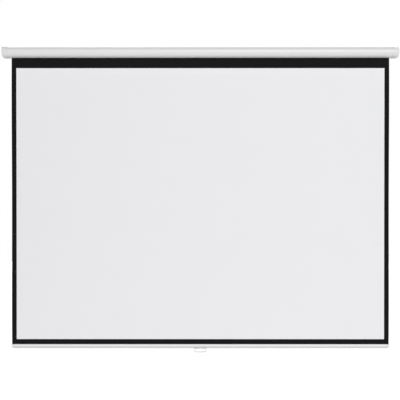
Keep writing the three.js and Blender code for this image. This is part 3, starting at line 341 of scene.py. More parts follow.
class Material:
    """A Principled material with short ways to add detail. Scales are per metre, distances in metres."""

    def __init__(self, name, color, roughness, metallic=0.0):
        self.mat = bpy.data.materials.new(name)
        self.mat.use_nodes = True
        self.tree = self.mat.node_tree
        self.shader = self.tree.nodes["Principled BSDF"]
        self.color, self.roughness = color, roughness
        self.shader.inputs["Base Color"].default_value = (*color, 1.0)
        self.shader.inputs["Roughness"].default_value = roughness
        self.shader.inputs["Metallic"].default_value = metallic
        self.coords = self.tree.nodes.new("ShaderNodeTexCoord")
        self.last_bump = None

    def add(self, kind, **values):
        node = self.tree.nodes.new(kind)
        for key, value in values.items():
            setattr(node, key, value)
        return node

    def link(self, a, b):
        self.tree.links.new(a, b)

    def mapped(self, scale):
        m = self.add("ShaderNodeMapping")
        self.link(self.coords.outputs["Object"], m.inputs["Vector"])
        m.inputs["Scale"].default_value = scale if hasattr(scale, "__len__") else (scale,) * 3
        return m.outputs["Vector"]

    def noise(self, scale, detail, rough=0.5):
        n = self.add("ShaderNodeTexNoise")
        self.link(self.mapped(scale), n.inputs["Vector"])
        n.inputs["Scale"].default_value = 1.0
        n.inputs["Detail"].default_value = detail
        n.inputs["Roughness"].default_value = rough
        return n.outputs["Fac"]

    def cells(self, scale, output="Distance"):
        n = self.add("ShaderNodeTexVoronoi")
        self.link(self.mapped(scale), n.inputs["Vector"])
        n.inputs["Scale"].default_value = 1.0
        return n.outputs[output]

    def waves(self, scale, axis):
        n = self.add("ShaderNodeTexWave", wave_type="BANDS", bands_direction=axis, wave_profile="SIN")
        self.link(self.coords.outputs["Object"], n.inputs["Vector"])
        n.inputs["Scale"].default_value = scale
        return n.outputs["Fac"]

    def calculate(self, operation, a, b):
        m = self.add("ShaderNodeMath", operation=operation)
        for value, socket in ((a, m.inputs[0]), (b, m.inputs[1])):
            if hasattr(value, "node"):
                self.link(value, socket)
            else:
                socket.default_value = value
        return m.outputs[0]

    def tone(self, factor):
        """The material's colour, darker or lighter."""
        return tuple(c * factor for c in self.color)

    def vary_color(self, value, low):
        """The base colour runs from a darker tone up to the full colour with value."""
        mix = self.add("ShaderNodeMix", data_type="RGBA")
        self.link(value, mix.inputs[MIX_SHARE])
        mix.inputs[MIX_FIRST].default_value = (*self.tone(low), 1.0)
        mix.inputs[MIX_SECOND].default_value = (*self.color, 1.0)
        self.link(mix.outputs[MIX_RESULT], self.shader.inputs["Base Color"])
        return mix

    def overlay(self, mix, value, factor, share):
        """Lays another tone over what mix gives, by value times share."""
        over = self.add("ShaderNodeMix", data_type="RGBA")
        self.link(self.calculate("MULTIPLY", value, share), over.inputs[MIX_SHARE])
        self.link(mix.outputs[MIX_RESULT], over.inputs[MIX_FIRST])
        over.inputs[MIX_SECOND].default_value = (*self.tone(factor), 1.0)
        self.link(over.outputs[MIX_RESULT], self.shader.inputs["Base Color"])

    def facing_up(self):
        """1 on level surfaces that face up, 0 on walls and undersides."""
        geometry = self.add("ShaderNodeNewGeometry")
        parts = self.add("ShaderNodeSeparateXYZ")
        self.link(geometry.outputs["Normal"], parts.inputs["Vector"])
        slope = self.add("ShaderNodeMapRange")
        self.link(parts.outputs["Z"], slope.inputs["Value"])
        slope.inputs["From Min"].default_value = 0.55
        slope.inputs["From Max"].default_value = 1.0
        return slope.outputs["Result"]

    def dust(self, mix):
        """A patchy film where the surface faces up."""
        film = self.calculate("MULTIPLY", self.facing_up(), self.noise(scale=60.0, detail=6.0, rough=0.7))
        self.overlay(mix, film, factor=0.84, share=0.5)

    def vary_roughness(self, value, less, more):
        m = self.add("ShaderNodeMapRange")
        self.link(value, m.inputs["Value"])
        m.inputs["To Min"].default_value = self.roughness - less
        m.inputs["To Max"].default_value = self.roughness + more
        self.link(m.outputs["Result"], self.shader.inputs["Roughness"])

    def bump(self, height, strength, distance):
        b = self.add("ShaderNodeBump")
        b.inputs["Strength"].default_value = strength
        b.inputs["Distance"].default_value = distance
        self.link(height, b.inputs["Height"])
        if self.last_bump:
            self.link(self.last_bump, b.inputs["Normal"])
        self.last_bump = b.outputs["Normal"]
        self.link(self.last_bump, self.shader.inputs["Normal"])


def powder_coat(name, color, roughness):
    """Satin powder coat: orange peel, fine grit, slight mottling, and dust where it faces up."""
    m = Material(name, color, roughness)
    mix = m.vary_color(m.noise(scale=9.0, detail=5.0, rough=0.6), low=0.965)
    m.dust(mix)
    m.vary_roughness(m.noise(scale=160.0, detail=3.0), less=0.06, more=0.09)
    m.bump(m.noise(scale=420.0, detail=1.5), strength=0.30, distance=0.00018)
    m.bump(m.noise(scale=2600.0, detail=1.0), strength=0.15, distance=0.00005)
    return m.mat


def moulded(name, color, roughness):
    """Moulded plastic with a spark-eroded grain, faint flow marks, and dust where it faces up."""
    m = Material(name, color, roughness)
    mix = m.vary_color(m.noise(scale=(14.0, 30.0, 30.0), detail=4.0, rough=0.6), low=0.96)
    m.dust(mix)
    m.vary_roughness(m.noise(scale=240.0, detail=2.0), less=0.06, more=0.08)
    m.bump(m.cells(scale=1100.0), strength=0.45, distance=0.00014)
    m.bump(m.noise(scale=420.0, detail=2.0), strength=0.12, distance=0.0001)
    return m.mat


def woven(name, color, roughness, relief, fleck, specular, sheen=0.0):
    """Coated cloth: a plain weave under the coating, slubs along the threads and a soft mottle."""
    m = Material(name, color, roughness)
    weave = m.calculate("MULTIPLY", m.waves(scale=420.0, axis="X"), m.waves(scale=420.0, axis="Z"))
    mix = m.vary_color(m.noise(scale=5.0, detail=5.0, rough=0.6), low=1 - fleck)
    lengthwise = m.noise(scale=(900.0, 900.0, 25.0), detail=2.0)
    crosswise = m.noise(scale=(25.0, 900.0, 900.0), detail=2.0)
    slubs = m.calculate("MULTIPLY", lengthwise, crosswise)
    faint_weave = m.calculate("MULTIPLY", weave, 0.6)
    m.overlay(mix, m.calculate("ADD", slubs, faint_weave), factor=1 + fleck * 2, share=0.5)
    m.vary_roughness(weave, less=0.05, more=0.04)
    m.bump(weave, strength=0.6, distance=relief)
    m.bump(slubs, strength=0.3, distance=relief)
    m.shader.inputs["Specular IOR Level"].default_value = specular
    if sheen:
        m.shader.inputs["Sheen Weight"].default_value = sheen
        m.shader.inputs["Sheen Roughness"].default_value = 0.4
    return m.mat


def plated(name, color, roughness):
    """Zinc plate with a faint spangle, rolling marks and rubbed patches."""
    m = Material(name, color, roughness, metallic=1.0)
    mix = m.vary_color(m.cells(scale=260.0, output="Color"), low=0.9)
    m.overlay(mix, m.noise(scale=90.0, detail=6.0, rough=0.7), factor=0.72, share=0.45)
    m.vary_roughness(m.noise(scale=120.0, detail=4.0), less=0.08, more=0.14)
    m.bump(m.noise(scale=(60.0, 1400.0, 1400.0), detail=3.0), strength=0.2, distance=0.00008)
    return m.mat


SLOT_MATERIALS = {
    "case_paint": powder_coat("case_paint", (0.768, 0.762, 0.765), roughness=0.38),
    "slat_paint": powder_coat("slat_paint", (0.83, 0.83, 0.835), roughness=0.42),
    # The handle's paint is a mid grey, darker than the white case. This is partly the handle's own tone and
    # partly painted shade, for the shadowed band along the clip and the shaded stroke of the thin wire.
    "handle_paint": powder_coat("handle_paint", (0.60, 0.60, 0.61), roughness=0.38),
    "cap_plastic": moulded("cap_plastic", (0.77, 0.765, 0.77), roughness=0.5),
    "black_fabric": woven("black_cloth", (0.0068, 0.0068, 0.0073), roughness=0.85, relief=0.00012,
                          fleck=0.25, specular=0.08, sheen=0.02),
    "view_fabric": woven("white_cloth", (0.846, 0.846, 0.866), roughness=0.95, relief=0.00005,
                         fleck=0.02, specular=0.1),
    "zinc_steel": plated("zinc_plate", (0.60, 0.61, 0.63), roughness=0.35),
    "dark_steel": plated("dark_steel", (0.20, 0.20, 0.21), roughness=0.4),
    "nylon": moulded("nylon", (0.66, 0.64, 0.58), roughness=0.5),
}
# The inlay's darker grey is painted shade: it darkens the lower half of the bar's face as light from above
# would.
INLAY_SHADE_PLASTIC = moulded("inlay_painted_shade", (0.64, 0.64, 0.645), roughness=0.55)


def dress(obj, slot):
    obj.data.materials.clear()
    obj.data.materials.append(SLOT_MATERIALS[slot])


def place(obj, body, slot, *replaced):
    """The piece takes its finish from slot, moves with body and stands for the nodes."""
    dress(obj, slot)
    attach(obj, body)
    if replaced:
        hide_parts(*replaced)


def dress_cad_nodes():
    """The CAD nodes that stay get the finish of their slots."""
    for part in frame["record"]["subparts"]:
        dress(nodes[part["node"]], part["material_slot"])


# Case

def rear_wall(grow, back):
    """The rear of the case's section, from bottom to top, grown outwards, with its wall at depth back."""
    radius = max(REAR_CORNER + grow, LEAST_CORNER)
    top, bottom = CASE_TOP + grow, CASE_BOTTOM - grow
    return (
        arc(back + radius, bottom + radius, radius, 270, 180, steps=6)
        + arc(back + radius, top - radius, radius, 180, 90, steps=6)
    )


def front_curve(grow):
    """The front of the case's section, from top to bottom, grown outwards."""
    roof, floor = CASE_TOP - NOSE_HEIGHT + grow, NOSE_HEIGHT - CASE_BOTTOM + grow
    return (
        oval_arc(ROOF_DEPTH, NOSE_HEIGHT, CASE_DEPTH - ROOF_DEPTH + grow, roof, 90, 0, steps=40)
        + oval_arc(FLOOR_DEPTH, NOSE_HEIGHT, CASE_DEPTH - FLOOR_DEPTH + grow, floor, 0, -90, steps=40)[1:]
    )


def case_outline(grow, back):
    return rear_wall(grow, back) + front_curve(grow)


def build_case():
    """An open section: the outer skin, and the inner one back round, joined by the slot's two lips."""
    floor_top, edge_top = CASE_BOTTOM + CASE_WALL, CASE_BOTTOM + SLOT_EDGE
    half_lip = CASE_WALL / 2

    def lip(depth):
        """The rounded upper edge of one of the slot's lips."""
        return arc(depth, CASE_BOTTOM + SLOT_LIP - half_lip, half_lip, 0, 180, steps=6)

    section = (
        [(SLOT_FRONT + SLOT_EDGE, CASE_BOTTOM)]
        + front_curve(0)[::-1]
        + rear_wall(0, 0)[::-1]
        + [(SLOT_BACK - SLOT_EDGE, CASE_BOTTOM), (SLOT_BACK, edge_top)]
        + lip(SLOT_BACK - half_lip)
        + [(SLOT_BACK - CASE_WALL, floor_top)]
        + rear_wall(-CASE_WALL, CASE_WALL)
        + front_curve(-CASE_WALL)
        + [(SLOT_FRONT + CASE_WALL, floor_top)]
        + lip(SLOT_FRONT + half_lip)
        + [(SLOT_FRONT, edge_top)]
    )
    case = prism("case_tube", section, -CASE_REACH, CASE_REACH, spans=2)
    smooth_bends(case)
    place(case, "case", "case_paint", "case_shell")


def build_cap(name, side):
    """Follows the case's section, a little proud of it, with a rounded end."""
    rings = [(CAP_INNER, CAP_PROUD - CAP_RIM), (CAP_INNER + CAP_RIM, CAP_PROUD)]
    rings += [(x, CAP_PROUD) for x in steps_between(CAP_INNER, CAP_REACH - CAP_ROUND, steps=2)[1:]]
    rings += arc(CAP_REACH - CAP_ROUND, CAP_PROUD - CAP_ROUND, CAP_ROUND, 90, 0, steps=8)[1:]
    cap = loft(f"cap_{name}", [[(side * x, d, z) for d, z in case_outline(g, 0)] for x, g in rings])

    def outlined(outline, inner, outer):
        return prism("tool", outline, *on_side(side, inner, outer))

    def slab(inner, outer, d0, d1, z0, z1):
        return box("tool", *on_side(side, inner, outer), d0, d1, z0, z1)

    def round_bar(post, radius, inner, outer):
        return outlined(arc(*post, radius, 0, 360, steps=32)[:-1], inner, outer)

    inside = POCKET_DEPTH + CAP_WALL
    head = KEYHOLE_HEAD + KEYHOLE_ROOM
    slot_end = KEYHOLE_LENGTH + KEYHOLE_SLOT + KEYHOLE_ROOM
    around_case = outlined(case_outline(CAP_FIT, -OVER), CAP_INNER - OVER, POCKET_INNER)
    beyond_case = outlined(case_outline(-CAP_WALL, inside), CASE_REACH, POCKET_OUTER)
    for_leg = slab(POCKET_INNER, KEYHOLE_REACH + HANGER_LEG / 2 + CAP_FIT,
                   -OVER, POCKET_DEPTH, -HANGER_DROP - CAP_FIT, ABOVE_CAP)
    behind_wall_keyhole = slab(KEYHOLE_REACH - head, KEYHOLE_REACH + head, 0, inside + OVER,
                               WALL_KEYHOLE_HEIGHT - head, WALL_KEYHOLE_HEIGHT + slot_end)
    under_ceiling_keyhole = slab(KEYHOLE_REACH - head, KEYHOLE_REACH + head, CEILING_KEYHOLE_DEPTH - head,
                                 CEILING_KEYHOLE_DEPTH + slot_end, BELOW_ROOF, ABOVE_CAP)
    hollows = [around_case, beyond_case, for_leg, behind_wall_keyhole, under_ceiling_keyhole]
    combine(cap, hollows, "DIFFERENCE")
    posts = POSTS.values()
    combine(cap, [round_bar(post, POST_RADIUS, POST_INNER, CAP_REACH - CAP_WALL) for post in posts], "UNION")
    holes = []
    for post in posts:
        holes.append(round_bar(post, SCREW_HOLE, POST_HOLE_START, CAP_REACH + OVER))
        holes.append(round_bar(post, HEAD_HOLE, CAP_REACH - COUNTERBORE, CAP_REACH + OVER))
    for depth in HANGER_SCREW_DEPTHS.values():
        at = (side * HANGER_SCREW_REACH, depth, 0)
        holes.append(drill(SCREW_HOLE, BELOW_ROOF, ABOVE_CAP, at, (0, 0, 1)))
    combine(cap, holes, "DIFFERENCE")
    soften(cap, width=CAP_EDGE)
    smooth_bends(cap)
    place(cap, "case", "cap_plastic", f"end_cap_{name}")


def build_hanger(name, side):
    """A leg up the wall and round the bend over the cap, with a wider plate on top."""
    outer = HANGER_BEND + HANGER_SHEET
    bend_at = (outer, HANGER_TOP - outer)
    outline = (
        [(0, -HANGER_DROP)]
        + arc(*bend_at, outer, 180, 90, steps=8)
        + [(PLATE_FRONT, HANGER_TOP), (PLATE_FRONT, HANGER_UNDERSIDE)]
        + arc(*bend_at, HANGER_BEND, 90, 180, steps=6)
        + [(HANGER_SHEET, -HANGER_DROP)]
    )
    leg = on_side(side, KEYHOLE_REACH - HANGER_LEG / 2, KEYHOLE_REACH + HANGER_LEG / 2)
    plate = prism(f"hanger_{name}_plate", outline, *leg)
    wide = box("tool", *on_side(side, PLATE_INNER, PLATE_OUTER),
               PLATE_BACK, PLATE_FRONT, HANGER_UNDERSIDE, HANGER_TOP)
    combine(plate, [wide], "UNION")
    x, low, far = side * KEYHOLE_REACH, WALL_KEYHOLE_HEIGHT, CEILING_KEYHOLE_DEPTH
    tools = [
        drill(KEYHOLE_HEAD, -OVER, OVER, (x, 0, low), (0, 1, 0)),
        drill(KEYHOLE_SLOT, -OVER, OVER, (x, 0, low + KEYHOLE_LENGTH), (0, 1, 0)),
        box("tool", x - KEYHOLE_SLOT, x + KEYHOLE_SLOT, -OVER, OVER, low, low + KEYHOLE_LENGTH),
        drill(KEYHOLE_HEAD, BELOW_PLATE, ABOVE_PLATE, (x, far, 0), (0, 0, 1)),
        drill(KEYHOLE_SLOT, BELOW_PLATE, ABOVE_PLATE, (x, far + KEYHOLE_LENGTH, 0), (0, 0, 1)),
        box("tool", x - KEYHOLE_SLOT, x + KEYHOLE_SLOT, far, far + KEYHOLE_LENGTH, BELOW_PLATE, ABOVE_PLATE),
    ]
    for depth in HANGER_SCREW_DEPTHS.values():
        at = (side * HANGER_SCREW_REACH, depth, HANGER_SCREW_SEAT)
        tools.append(lathe("tool", COUNTERSINK, at, (0, 0, 1)))
    combine(plate, tools, "DIFFERENCE")
    soften(plate, width=HANGER_EDGE)
    smooth_bends(plate)
    place(plate, "case", "zinc_steel", f"hanger_{name}")


def build_screw(name, seat, axis, length, head, body, node):
    """A threaded screw with a cross recess. The axis points out of its head."""
    neck = head[0][0] - NECK
    profile = [(-length, 0.0), (-length, POINT_RADIUS), (-length + POINT_LENGTH, SHANK_RADIUS)]
    for i in range(int((length - UNTHREADED + neck) / THREAD_PITCH)):
        along = -length + THREAD_START + i * THREAD_PITCH
        profile += [(along, THREAD_ROOT), (along + THREAD_PITCH / 2, THREAD_CREST)]
    profile.append((neck, SHANK_RADIUS))
    screw = lathe(name, profile + head, seat, axis, sides=28)
    out, u, v = square_axes(axis)
    top, width = head[-1][0], CROSS_HALF_WIDTH
    arms = []
    for p, q in ((u, v), (v, u)):
        rings = []
        for along, half in ((top - CROSS_DEPTH, CROSS_FOOT), (top + CROSS_RISE, CROSS_MOUTH)):
            middle = Vector(seat) + out * along
            corners = ((-half, -width), (half, -width), (half, width), (-half, width))
            rings.append([tuple(middle + p * s + q * t) for s, t in corners])
        arms.append(loft("tool", rings))
    combine(screw, arms, "DIFFERENCE")
    smooth(screw)
    place(screw, body, "zinc_steel", node)


def build_case_screws():
    for name, side in SIDES.items():
        for spot, (depth, height) in POSTS.items():
            build_screw(f"cap_fixing_{name}_{spot}", (side * CAP_SCREW_SEAT, depth, height), (side, 0, 0),
                        CAP_SCREW_LENGTH, PAN_HEAD, "case", f"cap_screw_{name}_{spot}")
        for spot, depth in HANGER_SCREW_DEPTHS.items():
            seat = (side * HANGER_SCREW_REACH, depth, HANGER_SCREW_SEAT)
            build_screw(f"hanger_fixing_{name}_{spot}", seat, (0, 0, 1),
                        HANGER_SCREW_LENGTH, FLAT_HEAD, "case", f"hanger_screw_{name}_{spot}")


# Cloth

def cloth_ripple(s, z):
    """A broad wave and a slanting one. It is never above 0, so the cloth only moves back, off the roller."""
    across, down = BROAD_PHASES
    broad = math.sin(s / BROAD_ACROSS + across) * math.sin(z / BROAD_DOWN + down)
    slant = SLANT_SHARE * math.sin(s / SLANT_ACROSS + z / SLANT_DOWN)
    return broad + slant - (1 + SLANT_SHARE)


def cloth_point(s, z, offset):
    """A point of the hanging cloth: s is the distance across it, offset is forward of its middle."""
    fall = min(max((CASE_BOTTOM - z) / (CASE_BOTTOM - BAR_TOP), 0.0), 1.0)
    freedom = math.sin(math.pi * fall)
    border = CLOTH_REACH - VIEW_REACH
    share = max(abs(s) - VIEW_REACH, 0.0) / border
    curl = EDGE_CURL * freedom
    lean = curl * share
    reach, depth = abs(s), CLOTH_DEPTH
    if share > 0 and curl > FLAT:
        bend = border / curl
        reach = VIEW_REACH + bend * math.sin(lean)
        depth = CLOTH_DEPTH + bend * (1 - math.cos(lean))
    depth += RIPPLE_DEPTH * freedom * cloth_ripple(s, z) * (1 - share)
    side = -1 if s < 0 else 1
    return (side * (reach - offset * math.sin(lean)), depth + offset * math.cos(lean), z)


def sheet_mesh(name, across, rows, back, front):
    """A closed sheet between two offsets, over a grid of distances across and heights."""
    n, m = len(across), len(rows)
    verts = [cloth_point(s, z, offset) for offset in (front, back) for z in rows for s in across]
    faces = []

    def at(layer, j, i):
        return layer * n * m + j * n + i

    for j in range(m - 1):
        for i in range(n - 1):
            faces.append((at(0, j, i), at(0, j, i + 1), at(0, j + 1, i + 1), at(0, j + 1, i)))
            faces.append((at(1, j, i), at(1, j + 1, i), at(1, j + 1, i + 1), at(1, j, i + 1)))
    for j in range(m - 1):
        for i in (0, n - 1):
            faces.append((at(0, j, i), at(0, j + 1, i), at(1, j + 1, i), at(1, j, i)))
    for i in range(n - 1):
        for j in (0, m - 1):
            faces.append((at(0, j, i), at(1, j, i), at(1, j, i + 1), at(0, j, i + 1)))
    return mesh_object(name, verts, faces)


def build_cloth():
    middle = steps_between(-VIEW_REACH, VIEW_REACH, steps=96)
    edge = steps_between(VIEW_REACH, CLOTH_REACH, steps=10)[1:]
    across = [-s for s in edge[::-1]] + middle + edge
    inside_case = steps_between(CLOTH_TOP, CASE_BOTTOM, steps=4)
    below_case = steps_between(CASE_BOTTOM, BAR_TOP, steps=96)[1:]
    rows = inside_case + below_case + [HEM_BOTTOM]
    half = CLOTH_THICK / 2
    cloth = sheet_mesh("screen_cloth", across, rows, -half, half)
    view_rows = steps_between(VIEW_TOP, VIEW_BOTTOM, steps=92)
    view_back = half + VIEW_GAP
    view = sheet_mesh("screen_front", middle, view_rows, view_back, view_back + VIEW_THICK)
    for piece, slot, node in ((cloth, "black_fabric", "fabric_sheet"), (view, "view_fabric", "view_surface")):
        smooth(piece)
        place(piece, "case", slot, node)
        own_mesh(piece)


def build_wound_cloth():
    """The turns of cloth left on the roller, from the outside in, and the end in the tube's groove."""
    per_turn = 72
    line = []
    for i in range(int(WOUND_TURNS * per_turn) - 1):
        turn = i / per_turn
        radius = WOUND_OUTER - WOUND_PITCH * turn
        angle = 2 * math.pi * turn
        line.append(Vector((-radius * math.cos(angle), radius * math.sin(angle))))
    line += [Vector(point) for point in WOUND_END]
    left, right = [], []
    for point, heading, stretch in mitres(line):
        offset = Vector((-heading.y, heading.x)) * (CLOTH_THICK / 2 * stretch)
        left.append(point + offset)
        right.append(point - offset)
    outline = [(ROLLER_DEPTH + p.x, p.y) for p in left + right[::-1]]
    wound = prism("wound_cloth", outline, -CLOTH_REACH, CLOTH_REACH)
    smooth(wound)
    place(wound, "roller", "black_fabric", "fabric_on_roller")


# Slat bar

def bar_outline(grow=0.0):
    """The bar's section, clockwise from the top, about the middle of its top."""
    front, corner = BAR_DEPTH / 2, BAR_CORNER
    low = -BAR_HEIGHT + corner
    return (
        arc(front - BAR_SHOULDER, -BAR_SHOULDER, BAR_SHOULDER + grow, 90, 0, steps=10)
        + arc(front - corner, low, corner + grow, 0, -90, steps=10)
        + arc(-front + corner, low, corner + grow, -90, -180, steps=10)
        + arc(-front + corner, -corner, corner + grow, 180, 90, steps=10)
    )


def channel_section():
    """The bar's section, opened at the top by a narrow mouth into the round channel for the hem."""
    mouth = math.degrees(math.asin(MOUTH_HALF / CHANNEL_RADIUS))
    return (
        [(MOUTH_HALF, 0)]
        + bar_outline()
        + [(-MOUTH_HALF, 0)]
        + arc(0, -CHANNEL_DROP, CHANNEL_RADIUS, 90 + mouth, 450 - mouth, steps=36)
    )


def chamber(margin):
    """The hollow that holds the weight rods."""
    half = CHAMBER_HALF - margin
    low = -BAR_HEIGHT + CHAMBER_FLOOR + margin
    high = -BAR_HEIGHT + CHAMBER_ROOF - margin
    return [(-half, low), (half, low), (half, high), (-half, high)]


def lowered(outline):
    return [(CLOTH_DEPTH + d, BAR_TOP + z) for d, z in outline]


def inlay_recess():
    """The shallow recess along the lower half of the bar's face."""
    face = BAR_DEPTH / 2
    seat, reach = face - INLAY_SEAT, BAR_JOINT + OVER
    outline = [(face + OVER, INLAY_TOP), (face + OVER, INLAY_BOTTOM), (seat, INLAY_BOTTOM), (seat, INLAY_TOP)]
    return prism("tool", lowered(outline), -reach, reach)


def build_inlay():
    """A ribbed strip pressed into the recess, whose darker grey is painted shade over the bar's lower half.
    """
    face = BAR_DEPTH / 2
    top, bottom = INLAY_TOP - INLAY_GAP, INLAY_BOTTOM + INLAY_GAP
    pitch = (top - bottom) / INLAY_RIBS
    outline = [(face - INLAY_SEAT, bottom), (face - INLAY_SEAT, top)]
    for rib in range(INLAY_RIBS):
        high = top - rib * pitch
        outline += [
            (face - RIB_DEPTH, high),
            (face, high - RIB_BEVEL * pitch),
            (face, high - (1 - RIB_BEVEL) * pitch),
        ]
    outline.append((face - RIB_DEPTH, bottom))
    strip = prism("slat_inlay_painted_shade", lowered(outline), -BAR_JOINT, BAR_JOINT)
    smooth(strip, angle=20)
    place(strip, "screen_bar", "cap_plastic")
    # The darker grey of the inlay paints shade on the bar's lower half.
    strip.data.materials[0] = INLAY_SHADE_PLASTIC


def build_bar():
    bar = prism("slat_extrusion", lowered(channel_section()), -BAR_JOINT, BAR_JOINT)
    hollow = prism("tool", lowered(chamber(0)), -BAR_JOINT - OVER, BAR_JOINT + OVER)
    screw_holes = [
        drill(SCREW_HOLE, *BAR_HOLE, (x, CLIP_SCREW_DEPTH, BAR_BOTTOM), (0, 0, 1))
        for x in (-CLIP_SCREW_REACH, CLIP_SCREW_REACH)
    ]
    combine(bar, [hollow, inlay_recess()] + screw_holes, "DIFFERENCE")
    smooth_bends(bar)
    place(bar, "screen_bar", "slat_paint", "slat_bar")


def build_slat_cap(name, side):
    """The bar's section again, closed by a rounded end, with a plug that goes into the chamber."""
    start, closed_from = BAR_JOINT + SLAT_CAP_START, BAR_REACH - SLAT_CAP_ROUND[0][0]
    cap = prism(f"slat_end_{name}", lowered(channel_section()),
                *on_side(side, start, closed_from + SLAT_CAP_OVERLAP))
    rings = []
    for inset, grow in SLAT_CAP_ROUND:
        rings.append([(side * (BAR_REACH - inset), d, z) for d, z in lowered(bar_outline(grow))])
    plug = prism("tool", lowered(chamber(PLUG_GAP)),
                 *on_side(side, BAR_JOINT - PLUG_LENGTH, start + PLUG_OVERLAP))
    combine(cap, [loft("tool", rings), plug], "UNION")
    smooth_bends(cap)
    place(cap, "screen_bar", "cap_plastic", f"slat_cap_{name}")


# Pull handle

def build_clip():
    top = BAR_BOTTOM + CLIP_RISE
    outline = (
        [(CLIP_INNER - CLIP_UNDER, WEB_BOTTOM)]
        + arc(CLIP_OUTER - CLIP_BEND, WEB_BOTTOM + CLIP_BEND, CLIP_BEND, -90, 0, steps=6)
        + arc(CLIP_OUTER - CLIP_LIP, top - CLIP_LIP, CLIP_LIP, 0, 90, steps=4)
        + [(CLIP_INNER, top), (CLIP_INNER, WEB_TOP), (CLIP_INNER - CLIP_UNDER, WEB_TOP)]
    )
    clip = prism("handle_bracket", outline, -CLIP_REACH, CLIP_REACH)
    hinge = (0, HINGE_DEPTH, HINGE_HEIGHT)
    knuckles, bores = [], []
    for side in SIDES.values():
        knuckle = on_side(side, KNUCKLE_INNER, CLIP_REACH)
        bore = on_side(side, KNUCKLE_INNER - OVER, CLIP_REACH + OVER)
        screw = (side * CLIP_SCREW_REACH, CLIP_SCREW_DEPTH, BAR_BOTTOM)
        knuckles.append(drill(KNUCKLE_RADIUS, *knuckle, hinge, (1, 0, 0), sides=40))
        bores.append(drill(PIN_HOLE, *bore, hinge, (1, 0, 0), sides=40))
        bores.append(drill(SCREW_HOLE, *CLIP_HOLE, screw, (0, 0, 1)))
    combine(clip, knuckles, "UNION")
    combine(clip, bores, "DIFFERENCE")
    soften(clip, width=CLIP_EDGE)
    smooth_bends(clip)
    place(clip, "screen_bar", "handle_paint", "handle_clip")


def build_clip_screws():
    for name, side in SIDES.items():
        seat = (side * CLIP_SCREW_REACH, CLIP_SCREW_DEPTH, CLIP_SCREW_SEAT)
        build_screw(f"handle_fixing_{name}", seat, (0, 0, -1),
                    CLIP_SCREW_LENGTH, PAN_HEAD, "screen_bar", f"handle_screw_{name}")


def build_bail():
    """A wire D, from one knuckle out, down, across and back up to the other."""
    def at(x, drop):
        return Vector((x, HINGE_DEPTH, HINGE_HEIGHT - drop))

    stops = [
        (at(-BAIL_EYE, 0), 0),
        (at(-BAIL_HALF, 0), ELBOW_BEND),
        (at(-BAIL_HALF, BAIL_DROP), GRIP_BEND),
        (at(BAIL_HALF, BAIL_DROP), GRIP_BEND),
        (at(BAIL_HALF, 0), ELBOW_BEND),
        (at(BAIL_EYE, 0), 0),
    ]
    bail = tube("pull_handle", rounded_path(stops), BAIL_WIRE)
    soften(bail, width=BAIL_EDGE, angle=60)
    smooth(bail, angle=50)
    place(bail, "handle", "handle_paint", "handle_bail")


dress_cad_nodes()
build_case()
for side_name, side_sign in SIDES.items():
    build_cap(side_name, side_sign)
    build_hanger(side_name, side_sign)
build_case_screws()
build_cloth()
build_wound_cloth()
build_bar()
build_inlay()
for side_name, side_sign in SIDES.items():
    build_slat_cap(side_name, side_sign)
build_clip()
build_clip_screws()
build_bail()


# Surroundings, light and camera

def seen_directly(tree):
    """1 for camera, glossy and transmission rays, and 0 for others."""
    path = tree.nodes.new("ShaderNodeLightPath")
    total = path.outputs["Is Camera Ray"]
    for name in ("Is Glossy Ray", "Is Transmission Ray"):
        larger = tree.nodes.new("ShaderNodeMath")
        larger.operation = "MAXIMUM"
        tree.links.new(total, larger.inputs[0])
        tree.links.new(path.outputs[name], larger.inputs[1])
        total = larger.outputs[0]
    return total


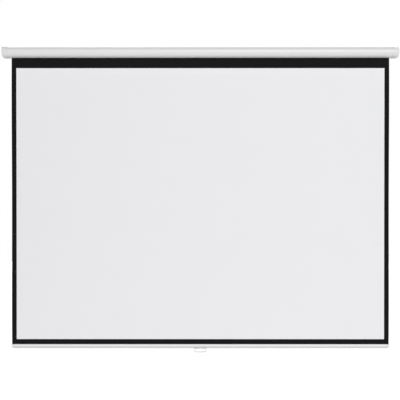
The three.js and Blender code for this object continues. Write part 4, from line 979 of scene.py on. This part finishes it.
def build_floor(grey, roughness, glow):
    """A pale floor that keeps the object's shadow. Its glow is seen, also in gloss, but lights nothing."""
    corners = [(-FLOOR_HALF, FLOOR_HALF), (FLOOR_HALF, FLOOR_HALF),
               (FLOOR_HALF, -FLOOR_HALF), (-FLOOR_HALF, -FLOOR_HALF)]
    floor = mesh_object("floor", [(x, d, FLOOR_HEIGHT) for x, d in corners], [(0, 1, 2, 3)])
    mat = bpy.data.materials.new("floor")
    mat.use_nodes = True
    tree = mat.node_tree
    shader = tree.nodes["Principled BSDF"]
    shader.inputs["Base Color"].default_value = (grey, grey, grey, 1)
    shader.inputs["Roughness"].default_value = roughness
    shader.inputs["Emission Color"].default_value = (1, 1, 1, 1)
    level = tree.nodes.new("ShaderNodeMath")
    level.operation = "MULTIPLY"
    level.inputs[1].default_value = glow
    tree.links.new(seen_directly(tree), level.inputs[0])
    tree.links.new(level.outputs[0], shader.inputs["Emission Strength"])
    floor.data.materials.append(mat)


def build_world(strength):
    """A white world that lights by strength and looks fully white."""
    world = bpy.data.worlds.new("studio")
    bpy.context.scene.world = world
    world.use_nodes = True
    tree = world.node_tree
    background = tree.nodes["Background"]
    background.inputs["Color"].default_value = (1, 1, 1, 1)
    level = tree.nodes.new("ShaderNodeMapRange")
    level.inputs["To Min"].default_value = strength
    level.inputs["To Max"].default_value = 1.0
    tree.links.new(seen_directly(tree), level.inputs["Value"])
    tree.links.new(level.outputs["Result"], background.inputs["Strength"])


def area_light(name, at_m, target_m, size_m, watts, glossy=True):
    light = bpy.data.lights.new(name, "AREA")
    light.shape = "RECTANGLE"
    light.size, light.size_y = size_m
    light.energy = watts
    obj = new_object(name, light)
    obj.location = at_m
    obj.rotation_euler = (Vector(target_m) - Vector(at_m)).to_track_quat("-Z", "Y").to_euler()
    obj.visible_camera = False
    obj.visible_glossy = glossy


def build_camera():
    camera = bpy.data.cameras.new("camera")
    camera.sensor_fit = "HORIZONTAL"
    camera.sensor_width = SENSOR_WIDTH
    camera.lens = FOCAL_PIXELS / IMAGE_PIXELS * SENSOR_WIDTH
    camera.clip_end = 100
    camera.shift_y = CAMERA_SHIFT
    view = new_object("camera", camera)
    view.location = CAMERA_AT_M
    view.rotation_euler = (90 * DEGREE - CAMERA_DIP, 0, CAMERA_TURN)
    bpy.context.scene.camera = view


build_floor(grey=0.65, roughness=0.9, glow=0.74)
build_world(strength=0.30)
area_light("key", at_m=(2.2, -11.8, 2.1), target_m=(0, 0, -0.7), size_m=(6.0, 4.0), watts=840)
area_light("bounce", at_m=(0.0, -2.0, -2.0), target_m=(0, -2.0, 0), size_m=(8.0, 6.0), watts=40)
area_light("rear", at_m=(-1.5, 11.0, 1.0), target_m=(0, 0, -0.7), size_m=(6.0, 4.0), watts=520, glossy=False)
build_camera()
bpy.context.scene.view_settings.view_transform = "Standard"
